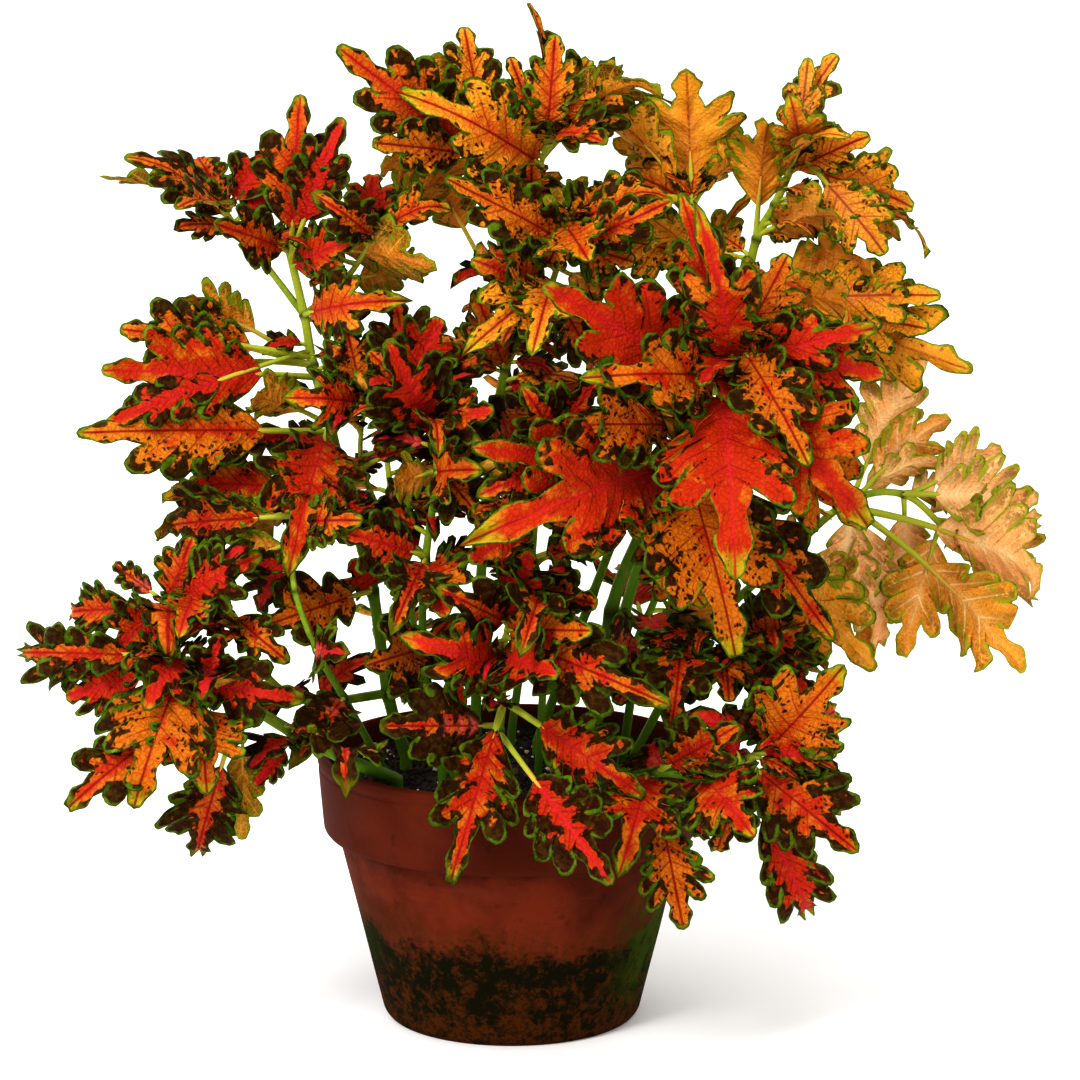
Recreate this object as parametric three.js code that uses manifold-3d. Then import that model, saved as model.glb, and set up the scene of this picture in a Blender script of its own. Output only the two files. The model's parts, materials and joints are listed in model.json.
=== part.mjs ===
// A coleus with deeply cut leaves, growing in a standard clay flowerpot.
// Millimetres, +Z up. The origin is on the pot's axis, on the surface the pot stands on;
// +X is to the right of the plant's best side, which faces -Y.

import * as THREE from 'three';
import Module from 'manifold-3d';
import { mergeVertices } from 'three/addons/utils/BufferGeometryUtils.js';

const wasm = await Module();
wasm.setup();

// ---------------------------------------------------------------- driving dimensions

// Pot: a tapered body under a deep band that stands out all round.
const POT_HEIGHT = 94.8;
const BAND_HEIGHT = 28.6;
const BAND_TOP_RADIUS = 68;
const BAND_FOOT_RADIUS = 65.8;
const BODY_TOP_RADIUS = 61;
const BASE_RADIUS = 45.2;
const BAND_WALL = 3.6;
const BODY_WALL = 4.6;
const FLOOR_THICKNESS = 7;
const DRAIN_RADIUS = 4.5;
const DRAIN_CIRCLE = 24;
const DRAIN_COUNT = 3;
const POT_SEGMENTS = 40;

// Soil: fills the pot to just under its mouth, a little uneven on top.
const SOIL_DEPTH_BELOW_MOUTH = 8;
const SOIL_RELIEF = 1.1;
const SOIL_SEGMENTS = 20;
const CLEARANCE = 0.3;
const STEM_SUNK = 24;

// Stems and leaves.
const STEM_SIDES = 5;
const LEAF_THICKNESS = 0.7;
const STALK_ROOT_THICKNESS = 1.1;
const STALK_ROOT_HALF_WIDTH = 0.7;
const STALK_END_HALF_WIDTH = 0.75;
const LEAF_ARCH = 0.1;
const LEAF_KEEL = 0.16;
const FINGERS_FROM_WIDTH = [16, 25, 34]; // one more finger a side from each width on
const NOTCHES_FROM = 0.1; // where the row of fingers starts, as a share of the blade
const NOTCHES_LENGTH = 0.6;
const FINGER_LEAN = 0.1; // how far a finger's tip lies ahead of its middle
const FINGER_REACH = [1, 1.26]; // past the leaf's margin, as a share of it
const FINGER_LIFT = 0.16; // as a share of the leaf's width
const TONGUE_NECK = 0.32; // as a share of the leaf's width
const ROOM_AROUND_LEAF = 0.35;
const LEAF_SPACING = 2.4; // along the stem, between the leaves of one node

// Which way a leaf's upper side looks: towards the best side, away from it, or up.
const FRONT = [0, -1, 0.25];
const RAISED = [0, -0.7, 0.7];
const BACK = [0, 1, 0.35];
const BACK_UP = [0, 0.6, 0.8];
const UP = [0, 0, 1];
const LEFT = [-1, -0.5, 0.2];
const RIGHT = [1, -0.5, 0.2];

// Leaf forms: a young leaf is cut into fingers halfway to its rib, an old one is scalloped.
const CUT = { depth: 0.44, tongue: 0.21 };
const OLD = { depth: 0.16, tongue: 0.3 };

// Every leafy shoot stands in the soil by a foot of its own. Its axes are drawn through
// their nodes; a side axis starts from a node of an earlier one. Each leaf is given as
//   [axis, node, tip x, tip y, tip z, width, share of its length that is stalk, side, form]
const SHOOTS = {
  left_high: {
    axes: [
      { girth: 4.6, foot: [-37, 2], at: [[-43, -2, 115], [-48, -4, 152], [-56, -2, 183],
        [-62, 0, 208], [-68, 2, 230], [-71, 4, 247], [-76, 6, 269]] },
      { girth: 2.4, from: [0, 6], at: [[-85, 8, 265], [-98, 10, 282]] },
      { girth: 2.4, from: [0, 6], at: [[-57, -6, 260], [-46, -10, 276]] },
      { girth: 3.2, from: [0, 1], at: [[-63, -14, 115], [-75, -20, 118], [-84, -26, 127],
        [-90, -32, 139], [-95, -36, 151], [-107, -38, 157], [-119, -36, 153]] },
    ],
    leaves: [
      [0, 7, -71, -14, 322, 26, 0.26, FRONT], [0, 7, -100, -30, 283, 21, 0.22, FRONT],
      [0, 5, -118, -18, 230, 30, 0.4, BACK], [0, 4, -144, -34, 213, 36, 0.3, FRONT],
      [0, 6, -44, -28, 257, 24, 0.2, FRONT], [0, 4, -73, -44, 177, 36, 0.15, FRONT],
      [0, 3, -117, -20, 191, 26, 0.42, RAISED], [0, 3, -123, -4, 176, 22, 0.42, BACK],
      [0, 2, -86, -42, 147, 26, 0.25, FRONT], [1, 2, -128, -4, 304, 22, 0.15, RAISED],
      [1, 2, -111, -28, 289, 16, 0.2, RAISED], [1, 2, -84, 22, 301, 20, 0.2, FRONT],
      [2, 2, -14, 14, 300, 20, 0.2, BACK], [2, 2, -23, -20, 289, 18, 0.2, RAISED],
      [3, 7, -87, -50, 173, 26, 0.15, FRONT], [3, 7, -108, -34, 176, 20, 0.15, FRONT],
      [3, 7, -153, -20, 148, 24, 0.25, FRONT], [3, 6, -99, -58, 147, 22, 0.1, FRONT],
    ],
  },
  left_low: {
    axes: [
      { girth: 4.4, foot: [-39, -31], at: [[-57, -42, 102], [-74, -46, 112], [-91, -48, 123],
        [-103, -48, 128], [-112, -46, 139]] },
    ],
    leaves: [
      [0, 5, -171, -22, 135, 30, 0.38, FRONT], [0, 5, -150, -40, 125, 20, 0.4, FRONT],
      [0, 5, -124, -84, 101, 40, 0.08, FRONT], [0, 4, -146, -78, 96, 24, 0.42, FRONT],
      [0, 4, -102, -74, 102, 34, 0.28, FRONT], [0, 3, -108, -46, 67, 30, 0.38, FRONT],
      [0, 4, -74, -66, 129, 24, 0.1, FRONT], [0, 5, -120, -74, 130, 26, 0.1, FRONT],
      [0, 1, -55, -78, 110, 28, 0.2, FRONT, OLD],
    ],
  },
  left_inner: {
    axes: [
      { girth: 2.6, foot: [-44, -14], at: [[-57, -34, 121], [-66, -40, 139], [-73, -38, 159],
        [-74, -34, 174], [-70, -30, 189]] },
    ],
    leaves: [
      [0, 2, -58, -60, 143, 22, 0.2, FRONT], [0, 4, -92, -28, 168, 24, 0.25, BACK],
      [0, 5, -65, -30, 212, 24, 0.2, FRONT],
    ],
  },
  centre_left: {
    axes: [
      { girth: 3.4, foot: [-24, -16], at: [[-30, -26, 136], [-29, -34, 169], [-25, -36, 200],
        [-28, -34, 215], [-37, -30, 228]] },
      { girth: 2.2, from: [0, 2], at: [[-43, -24, 181], [-51, -18, 200], [-50, -14, 220]] },
    ],
    leaves: [
      [0, 4, -40, -62, 247, 36, 0.1, FRONT], [0, 4, -6, -50, 223, 22, 0.15, FRONT],
      [0, 3, -15, -60, 205, 26, 0.15, FRONT], [0, 3, -10, -58, 187, 24, 0.1, FRONT],
      [0, 2, -22, -66, 157, 32, 0.12, FRONT], [0, 2, -56, -46, 181, 26, 0.2, FRONT],
      [0, 1, -49, -78, 142, 32, 0.12, FRONT], [1, 3, -71, -34, 225, 24, 0.1, FRONT],
    ],
  },
  centre_high: {
    axes: [
      { girth: 4.2, foot: [-13, 5], at: [[-11, 4, 147], [-7, 4, 200], [-2, 4, 228], [1, 4, 240],
        [-4, 6, 275], [-8, 8, 303]] },
      { girth: 2.4, from: [0, 5], at: [[7, 2, 290], [13, -2, 309]] },
      { girth: 2.6, from: [0, 4], at: [[13, -10, 258], [19, -16, 280]] },
    ],
    leaves: [
      [0, 6, -57, -14, 339, 28, 0.2, FRONT], [0, 6, -41, 18, 334, 28, 0.1, BACK],
      [0, 6, -16, 24, 344, 18, 0.2, FRONT], [1, 2, -28, -30, 325, 32, 0.05, FRONT],
      [1, 2, 6, 8, 353, 10, 0.2, RIGHT], [1, 2, 36, 0, 335, 34, 0.12, FRONT],
      [1, 2, 15, -8, 343, 20, 0.2, FRONT], [1, 2, 31, -18, 310, 24, 0.12, RAISED],
      [1, 1, 7, -34, 302, 24, 0.1, FRONT], [2, 2, -21, -34, 298, 30, 0.1, FRONT],
      [2, 2, 53, -22, 295, 22, 0.2, RAISED], [2, 2, 26, -46, 272, 28, 0.1, FRONT],
      [2, 1, -11, -40, 270, 24, 0.1, FRONT], [2, 1, -8, -46, 249, 26, 0.1, FRONT],
      [2, 1, 8, -60, 248, 24, 0.1, FRONT], [0, 2, 16, -30, 223, 24, 0.2, FRONT],
    ],
  },
  right_high: {
    axes: [
      { girth: 4.4, foot: [28, 16], at: [[39, 16, 137], [52, 18, 179], [68, 22, 218],
        [80, 22, 249], [85, 20, 271], [91, 18, 283], [99, 16, 302]] },
    ],
    leaves: [
      [0, 7, 111, 6, 335, 17, 0.28, LEFT], [0, 7, 95, -12, 321, 22, 0.15, FRONT],
      [0, 5, 87, 0, 315, 26, 0.25, BACK], [0, 5, 112, -14, 283, 26, 0.15, BACK],
      [0, 6, 140, 6, 281, 36, 0.3, BACK], [0, 4, 153, -8, 229, 42, 0.2, BACK],
      [0, 4, 146, 14, 254, 24, 0.3, FRONT], [0, 4, 119, -30, 250, 24, 0.2, BACK],
      [0, 3, 48, 20, 250, 26, 0.15, FRONT],
    ],
  },
  top_mid: {
    axes: [
      { girth: 3.6, foot: [9, 24], at: [[28, 26, 142], [45, 28, 188], [59, 24, 232], [65, 16, 264],
        [62, 10, 286]] },
    ],
    leaves: [
      [0, 5, 60, 8, 329, 40, 0.16, BACK], [0, 5, 17, -6, 326, 22, 0.15, BACK_UP],
      [0, 4, 49, -14, 281, 22, 0.2, BACK], [0, 4, 31, 4, 274, 24, 0.2, FRONT],
      [0, 3, 81, 36, 286, 20, 0.3, BACK], [0, 2, 17, 20, 179, 26, 0.2, FRONT],
    ],
  },
  right_head: {
    axes: [
      { girth: 4.8, foot: [26, -20], at: [[34, -30, 150], [44, -34, 179], [50, -38, 201],
        [57, -44, 215], [68, -54, 233], [76, -64, 247]] },
    ],
    leaves: [
      [0, 6, 72, -112, 188, 48, 0.14, FRONT], [0, 6, 114, -92, 197, 40, 0.18, FRONT],
      [0, 6, 114, -86, 255, 22, 0.15, FRONT], [0, 4, 73, -88, 153, 44, 0.22, FRONT],
      [0, 5, 11, -90, 270, 34, 0.15, FRONT], [0, 6, 56, -62, 296, 28, 0.1, FRONT],
      [0, 6, 63, -92, 287, 32, 0.06, FRONT], [0, 6, 91, -60, 275, 30, 0.1, FRONT],
      [0, 6, 122, -66, 238, 28, 0.15, FRONT], [0, 4, 105, -62, 150, 24, 0.3, FRONT],
      [0, 5, 116, -70, 188, 34, 0.2, FRONT], [0, 5, 31, -98, 243, 28, 0.1, FRONT],
      [0, 3, -13, -88, 217, 24, 0.1, FRONT], [0, 3, 0, -98, 195, 44, 0.12, FRONT],
      [0, 3, 121, -38, 132, 30, 0.5, BACK], [0, 4, 18, -78, 223, 28, 0.2, FRONT],
      [0, 6, 95, -96, 216, 26, 0.1, FRONT], [0, 2, 63, -56, 160, 24, 0.12, FRONT],
    ],
  },
  right_side: {
    axes: [
      { girth: 3.4, foot: [43, 6], at: [[66, 8, 132], [94, 8, 160], [117, 6, 181], [136, 4, 184],
        [151, 0, 172]] },
    ],
    leaves: [
      [0, 3, 184, -30, 160, 42, 0.42, BACK], [0, 3, 171, -46, 134, 34, 0.4, BACK],
      [0, 5, 136, -18, 134, 24, 0.12, BACK], [0, 3, 145, 24, 229, 22, 0.25, BACK],
      [0, 3, 151, 16, 209, 26, 0.25, BACK], [0, 5, 179, 22, 150, 20, 0.2, FRONT],
      [0, 4, 138, 20, 151, 24, 0.2, FRONT], [0, 2, 122, -14, 152, 22, 0.3, FRONT],
    ],
  },
  right_inner: {
    axes: [
      { girth: 3.4, foot: [38, -10], at: [[45, -22, 136], [58, -30, 142], [73, -36, 143],
        [86, -40, 138]] },
    ],
    leaves: [
      [0, 2, 54, -66, 122, 28, 0.12, FRONT], [0, 4, 99, -54, 152, 34, 0.1, FRONT],
      [0, 4, 101, -60, 126, 30, 0.1, FRONT], [0, 4, 91, -30, 158, 22, 0.1, FRONT],
      [0, 1, 26, -50, 141, 26, 0.2, FRONT],
    ],
  },
  right_low: {
    axes: [
      { girth: 3.8, foot: [27, -40], at: [[48, -58, 101], [64, -66, 102], [78, -62, 106],
        [89, -56, 110]] },
    ],
    leaves: [
      [0, 1, 38, -90, 82, 34, 0.1, FRONT], [0, 1, 57, -80, 54, 24, 0.38, FRONT],
      [0, 2, 78, -90, 90, 32, 0.05, FRONT], [0, 3, 103, -60, 47, 24, 0.3, LEFT],
      [0, 3, 114, -70, 78, 34, 0.12, FRONT], [0, 4, 107, -74, 137, 36, 0.06, FRONT],
      [0, 1, 75, -66, 122, 28, 0.2, FRONT], [0, 4, 80, -62, 126, 24, 0.1, FRONT],
      [0, 3, 59, -84, 98, 26, 0.1, FRONT], [0, 1, 46, -60, 111, 30, 0.15, FRONT, OLD],
    ],
  },
  front: {
    axes: [
      { girth: 3.4, foot: [-5, -46], at: [[-4, -48, 113], [-3, -50, 123], [-3, -52, 138],
        [-1, -54, 152]] },
    ],
    leaves: [
      [0, 2, -19, -88, 76, 44, 0.12, FRONT], [0, 2, 41, -82, 101, 40, 0.34, FRONT],
      [0, 1, 32, -86, 78, 28, 0.42, FRONT], [0, 3, -30, -84, 152, 26, 0.1, FRONT],
      [0, 1, -43, -66, 119, 28, 0.2, FRONT, OLD], [0, 4, 46, -96, 136, 28, 0.12, FRONT],
      [0, 4, 26, -80, 156, 26, 0.1, FRONT], [0, 4, 6, -76, 178, 24, 0.1, FRONT],
      [0, 3, -19, -82, 135, 22, 0.1, FRONT], [0, 3, 16, -84, 143, 24, 0.1, FRONT],
    ],
  },
  centre_low: {
    axes: [
      { girth: 3.0, foot: [9, -28], at: [[11, -38, 135], [10, -46, 161], [6, -50, 182],
        [11, -52, 203], [16, -50, 216]] },
    ],
    leaves: [
      [0, 5, 5, -66, 232, 22, 0.1, FRONT], [0, 5, 27, -70, 233, 24, 0.1, FRONT],
      [0, 2, 29, -76, 161, 24, 0.1, FRONT], [0, 4, 29, -66, 196, 22, 0.1, FRONT],
    ],
  },
};

// Shoots at the back carry opposite pairs of leaves, each pair turned a quarter turn from
// the last one.
const BACK_SHOOTS = {
  back_left: { girth: 3.4, foot: [-26, 26], at: [[-34, 50, 122], [-42, 72, 160], [-47, 92, 195]] },
  back_centre: { girth: 3.4, foot: [0, 40], at: [[6, 68, 130], [10, 92, 178], [12, 110, 222]] },
  back_right: { girth: 3.4, foot: [26, 36], at: [[48, 62, 125], [66, 84, 168], [78, 98, 210]] },
};
const PAIR_LENGTH = [58, 40];
const PAIR_RISE = 0.35;
const PAIR_SHARES = { width: 0.56, stalk: 0.24 };

// Moves of a leaf's tip that keep it clear of its neighbours, in the order they are tried.
const BENDS = [
  [0, 0, 0], [0, -6, 0], [0, 6, 0], [0, -12, 0], [0, 12, 0], [0, -18, 0], [0, 18, 0],
  [0, 0, -5], [0, 0, 5], [-5, 0, 0], [5, 0, 0], [0, -25, 0], [0, 25, 0], [0, -12, -7],
  [0, 12, -7], [-8, -12, 0], [8, -12, 0], [-8, 12, 0], [8, 12, 0], [0, -34, -4], [0, 34, -4],
  [0, -20, -12], [0, 20, -12], [-12, -24, 6], [12, -24, 6], [-12, 24, 6], [12, 24, 6],
];
const ROOT_OVERLAP = 4; // mm³ that two leaves of one shoot may share where they spring

// ---------------------------------------------------------------- small helpers

const vector = (a) => new THREE.Vector3(a[0], a[1], a[2]);

// A repeatable stream of numbers from 0 to 1 (mulberry32).
function randomStream(seed) {
  let state = seed >>> 0;
  return () => {
    state = (state + 0x6d2b79f5) >>> 0;
    let t = state;
    t = Math.imul(t ^ (t >>> 15), t | 1);
    t ^= t + Math.imul(t ^ (t >>> 7), t | 61);
    return ((t ^ (t >>> 14)) >>> 0) / 4294967296;
  };
}

function solid(geometry) {
  const merged = mergeVertices(positionOnly(geometry), 1e-4);
  return new wasm.Manifold(new wasm.Mesh({
    numProp: 3,
    vertProperties: Float32Array.from(merged.attributes.position.array),
    triVerts: Uint32Array.from(merged.index.array),
  }));
}

function positionOnly(geometry) {
  const copy = geometry.clone();
  copy.deleteAttribute('normal');
  copy.deleteAttribute('uv');
  return copy;
}

function geometryOf(body) {
  const { vertProperties, triVerts } = body.getMesh();
  const geometry = new THREE.BufferGeometry();
  geometry.setAttribute('position', new THREE.BufferAttribute(Float32Array.from(vertProperties), 3));
  geometry.setIndex(new THREE.BufferAttribute(Uint32Array.from(triVerts), 1));
  return geometry;
}

// A profile of [radius, height] points turned about the +Z axis.
function turned(profile, segments) {
  const points = profile.map(([r, z]) => new THREE.Vector2(r, z));
  return new THREE.LatheGeometry(points, segments).rotateX(Math.PI / 2);
}

function uprightPeg(x, y, bottom, top, radius, sides) {
  return new THREE.CylinderGeometry(radius, radius, top - bottom, sides)
    .rotateX(Math.PI / 2)
    .translate(x, y, (bottom + top) / 2);
}

// ---------------------------------------------------------------- pot and soil

const bandFoot = POT_HEIGHT - BAND_HEIGHT;
const soilTop = POT_HEIGHT - SOIL_DEPTH_BELOW_MOUTH;

// The pot's inner wall, from the floor up: the body, the ledge behind the band, the mouth.
const innerWall = [
  [BASE_RADIUS - BODY_WALL + 1, FLOOR_THICKNESS],
  [BODY_TOP_RADIUS - BODY_WALL, bandFoot - 3],
  [BAND_FOOT_RADIUS - BAND_WALL, bandFoot + 1],
  [BAND_TOP_RADIUS - BAND_WALL, POT_HEIGHT - 2],
];

function makePot() {
  const outerWall = [
    [0, 0],
    [BASE_RADIUS - 1.8, 0],
    [BASE_RADIUS, 2],
    [BODY_TOP_RADIUS, bandFoot],
    [BAND_FOOT_RADIUS - 1.4, bandFoot],
    [BAND_FOOT_RADIUS, bandFoot + 1.6],
    [BAND_TOP_RADIUS, POT_HEIGHT - 1.8],
    [BAND_TOP_RADIUS - 1.6, POT_HEIGHT],
  ];
  const profile = [...outerWall, ...innerWall.toReversed(), [0, FLOOR_THICKNESS]];
  let pot = solid(turned(profile, POT_SEGMENTS));
  for (let i = 0; i < DRAIN_COUNT; i += 1) {
    const turn = (2 * Math.PI * (i + 0.5)) / DRAIN_COUNT;
    const [x, y] = [DRAIN_CIRCLE * Math.cos(turn), DRAIN_CIRCLE * Math.sin(turn)];
    pot = pot.subtract(solid(uprightPeg(x, y, -1, FLOOR_THICKNESS + 1, DRAIN_RADIUS, 14)));
  }
  return pot;
}

// Height of the soil's surface over a point, from three crossing swells.
function soilHeight(x, y) {
  const swell = Math.sin(0.11 * x + 0.6) * Math.cos(0.09 * y) + 0.5 * Math.sin(0.19 * (x - y));
  return soilTop + (SOIL_RELIEF * swell) / 1.5;
}

function makeSoil(stems) {
  const wall = innerWall.slice(0, 3).map(([r, z]) => [r - CLEARANCE, z + CLEARANCE]);
  const [foot, mouth] = innerWall.slice(2);
  const share = (soilTop - foot[1]) / (mouth[1] - foot[1]);
  const edge = foot[0] + share * (mouth[0] - foot[0]) - CLEARANCE;
  const top = [1, 0.55, 0].map((part) => [edge * part, soilTop]);
  const geometry = turned([[0, FLOOR_THICKNESS + CLEARANCE], ...wall, ...top], SOIL_SEGMENTS);
  const position = geometry.attributes.position;
  for (let i = 0; i < position.count; i += 1) {
    if (Math.abs(position.getZ(i) - soilTop) < 0.01) {
      position.setZ(i, soilHeight(position.getX(i), position.getY(i)));
    }
  }
  let soil = solid(geometry);
  for (const { foot: [x, y], girth } of stems) {
    const radius = girth / 2 + CLEARANCE / Math.cos(Math.PI / STEM_SIDES);
    const bottom = soilTop - STEM_SUNK - CLEARANCE;
    soil = soil.subtract(solid(uprightPeg(x, y, bottom, POT_HEIGHT, radius, STEM_SIDES)));
  }
  return soil;
}

// ---------------------------------------------------------------- stems

// The routes of a shoot's axes, each a list of points, the first being where it starts.
function routesOf(shoot) {
  const routes = [];
  for (const axis of shoot.axes) {
    const start = axis.foot
      ? [...axis.foot, soilTop + SOIL_RELIEF + axis.girth / 2 + 1.2]
      : routes[axis.from[0]][axis.from[1]].toArray();
    routes.push([start, ...axis.at].map(vector));
  }
  return routes;
}

// A stem's centre line, straight from each node to the next, with a ring at each node.
class StemLine extends THREE.Curve {
  constructor(nodes) {
    super();
    this.nodes = nodes;
  }

  getPoint(t) {
    const place = t * (this.nodes.length - 1);
    const i = Math.min(Math.floor(place), this.nodes.length - 2);
    return this.nodes[i].clone().lerp(this.nodes[i + 1], place - i);
  }

  getPointAt(t) {
    return this.getPoint(t);
  }

  getTangentAt(t) {
    return this.getTangent(t);
  }
}

function makeStem(axis, route) {
  const radius = axis.girth / 2;
  const section = new THREE.Shape();
  for (let i = 0; i < STEM_SIDES; i += 1) {
    const turn = (2 * Math.PI * i) / STEM_SIDES;
    const [x, y] = [radius * Math.cos(turn), radius * Math.sin(turn)];
    if (i) section.lineTo(x, y);
    else section.moveTo(x, y);
  }
  section.closePath();
  const extrudePath = new StemLine(route);
  const steps = route.length - 1;
  const stem = solid(new THREE.ExtrudeGeometry(section, { steps, bevelEnabled: false, extrudePath }));
  if (!axis.foot) return stem;
  const [x, y] = axis.foot;
  const bottom = soilTop - STEM_SUNK;
  return stem.add(solid(uprightPeg(x, y, bottom, route[0].z + radius * 0.6, radius, STEM_SIDES)));
}

// ---------------------------------------------------------------- leaves

// How far a leaf's margin lies from its rib, as a share of half its width, at a share of
// the way along the row of fingers.
const marginAt = (share) => Math.sin(Math.PI * (0.22 + 0.62 * share));

const fingerCount = (width) => 1 + FINGERS_FROM_WIDTH.filter((from) => width >= from).length;

// One side's outline from the end of the stalk to the tip, as [along, across, lift]:
// along as a share of the blade, across and lift in millimetres.
function halfOutline(leaf, random) {
  const half = leaf.width / 2;
  const count = fingerCount(leaf.width);
  const points = [[0, STALK_END_HALF_WIDTH, 0]];
  for (let i = 0; i < count; i += 1) {
    const middle = (i + 0.5) / count;
    const reach = half * marginAt(middle) * THREE.MathUtils.lerp(...FINGER_REACH, random());
    const lift = leaf.width * FINGER_LIFT * (random() - 0.5);
    points.push([NOTCHES_FROM + FINGER_LEAN + NOTCHES_LENGTH * middle, reach, lift]);
    const end = (i + 1) / count;
    const valley = i + 1 < count ? marginAt(end) * (1 - leaf.form.depth) : TONGUE_NECK;
    points.push([NOTCHES_FROM + NOTCHES_LENGTH * end, half * valley, 0]);
  }
  points.push([1, Math.max(LEAF_THICKNESS, half * leaf.form.tongue), 0]);
  return points;
}

// The direction square to a leaf that its upper side looks in: the side given or, on a leaf
// that points that way itself, up.
function upperSide(along, side) {
  const [given, up] = [side, UP].map((each) => {
    const direction = vector(each);
    return direction.addScaledVector(along, -direction.dot(along));
  });
  return (given.length() > 0.3 ? given : up).normalize();
}

// The closed solid of a leaf that springs from a point and ends at its tip. Both faces are
// split into triangles in the same way, half the thickness to either side.
function makeLeaf(leaf, tip, { room = 0, stalk = true } = {}) {
  const along = tip.clone().sub(leaf.root);
  const length = along.length();
  along.divideScalar(length);
  const normal = upperSide(along, leaf.side);
  const across = along.clone().cross(normal);

  const place = (share, offset, height) => {
    const slope = LEAF_ARCH * 4 * (1 - 2 * share);
    const upward = across.clone().cross(along.clone().addScaledVector(normal, slope)).normalize();
    return leaf.root.clone()
      .addScaledVector(along, length * share)
      .addScaledVector(normal, length * LEAF_ARCH * 4 * share * (1 - share))
      .addScaledVector(across, offset)
      .addScaledVector(upward, height);
  };
  const onBlade = (part) => leaf.stalk + (1 - leaf.stalk) * part;

  const random = randomStream(leaf.seed);
  const halves = [1, -1].map((sign) => ({ sign, points: halfOutline(leaf, random) }));
  const vertices = [];
  const add = (share, offset, lift, thickness) => {
    const height = LEAF_KEEL * Math.abs(offset) + lift;
    const grown = thickness / 2 + room;
    const widened = offset + Math.sign(offset) * room;
    vertices.push(place(share, widened, height + grown), place(share, widened, height - grown));
    return vertices.length / 2 - 1;
  };

  // The rib bends at a middle notch and at the last one, where the tongue begins.
  const count = fingerCount(leaf.width);
  const bends = [...new Set([Math.ceil(count / 2), count])];
  const rims = halves.map(({ sign, points }) => points.map(([part, offset, lift]) => (
    add(onBlade(part), sign * offset, lift, LEAF_THICKNESS))));
  const rib = bends.map((i) => add(onBlade(halves[0].points[2 * i][0]), 0, 0, LEAF_THICKNESS));
  const roots = stalk
    ? [1, -1].map((sign) => add(0, sign * STALK_ROOT_HALF_WIDTH, 0, STALK_ROOT_THICKNESS))
    : [];

  const faces = [];
  rims.forEach((rim, side) => {
    const face = (a, b, c) => faces.push(side ? [a, c, b] : [a, b, c]);
    for (let i = 0; i < count; i += 1) {
      const from = rib[i < bends[0] ? 0 : 1];
      face(rim[2 * i], rim[2 * i + 1], rim[2 * i + 2]);
      face(from, rim[2 * i], rim[2 * i + 2]);
    }
    if (rib.length > 1) face(rib[0], rim[2 * bends[0]], rib[1]);
    face(rib.at(-1), rim.at(-2), rim.at(-1));
  });
  faces.push([rib.at(-1), rims[0].at(-1), rims[1].at(-1)], [rib[0], rims[1][0], rims[0][0]]);
  if (stalk) faces.push([roots[0], rims[0][0], rims[1][0]], [roots[0], rims[1][0], roots[1]]);

  const outline = [...(stalk ? [roots[0]] : []), ...rims[0], ...rims[1].toReversed(),
    ...(stalk ? [roots[1]] : [])];
  const triangles = [];
  for (const [a, b, c] of faces) {
    triangles.push(2 * a, 2 * b, 2 * c, 2 * a + 1, 2 * c + 1, 2 * b + 1);
  }
  outline.forEach((a, i) => {
    const b = outline[(i + 1) % outline.length];
    triangles.push(2 * a, 2 * a + 1, 2 * b + 1, 2 * a, 2 * b + 1, 2 * b);
  });
  const geometry = new THREE.BufferGeometry().setFromPoints(vertices);
  geometry.setIndex(triangles);
  return solid(geometry);
}

// A back shoot's leaves: an opposite pair at each node, spreading and rising, and upward
// side up. Their directions turn a quarter turn from node to node.
function pairedLeaves(shoot, route, random) {
  const leaves = [];
  for (let node = 1; node < route.length; node += 1) {
    const turn = (Math.PI / 2) * node + 0.5 * random();
    for (const opposite of [0, Math.PI]) {
      const length = THREE.MathUtils.lerp(...PAIR_LENGTH, random());
      const outward = new THREE.Vector3(Math.cos(turn + opposite), Math.sin(turn + opposite), 0);
      const reach = outward.clone().setZ(PAIR_RISE * (2 * random() - 0.4)).multiplyScalar(length);
      const side = outward.multiplyScalar(-0.5).setZ(1).toArray();
      leaves.push([0, node, ...route[node].clone().add(reach).toArray(),
        length * PAIR_SHARES.width, PAIR_SHARES.stalk, side]);
    }
  }
  return leaves;
}

// Every shoot with its axes' routes and stem solids, and every leaf with its root.
const shoots = [];
const leaves = [];

// Where the leaves of a node spring: one after the other along the stem, round the node or,
// at the stem's end, up to it.
function rootAt(route, node, place, crowd) {
  const spans = route.length - 1;
  const shift = node < spans ? place - (crowd - 1) / 2 : place - crowd + 0.7;
  const neighbour = route[Math.max(0, node + (shift < 0 ? -1 : 1))];
  const share = (shift * LEAF_SPACING) / route[node].distanceTo(neighbour);
  return new StemLine(route).getPoint((node + share) / spans);
}

function plan(name, shoot) {
  const routes = routesOf(shoot);
  const rows = shoot.leaves ?? pairedLeaves(shoot, routes[0], randomStream(shoots.length));
  const nodeOf = (row) => `${row[0]} ${row[1]}`;
  const stems = shoot.axes.map((axis, i) => makeStem(axis, routes[i]));
  const planned = { name, foot: shoot.axes[0], pieces: stems };
  shoots.push(planned);
  const taken = {};
  for (const row of rows) {
    const [axis, node, x, y, z, width, stalk, side, form = CUT] = row;
    const place = taken[nodeOf(row)] ?? 0;
    taken[nodeOf(row)] = place + 1;
    const crowd = rows.filter((each) => nodeOf(each) === nodeOf(row)).length;
    const root = rootAt(routes[axis], node, place, crowd);
    const seed = leaves.length;
    leaves.push({ shoot: planned, seed, root, tip: new THREE.Vector3(x, y, z), width, stalk, side, form });
  }
}

const boxesMeet = (a, b) => [0, 1, 2].every((i) => a.min[i] < b.max[i] && b.min[i] < a.max[i]);

function shared(a, b) {
  if (!boxesMeet(a.boundingBox(), b.boundingBox())) return 0;
  const common = a.intersect(b);
  const volume = common.volume();
  common.delete();
  return volume;
}

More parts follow.
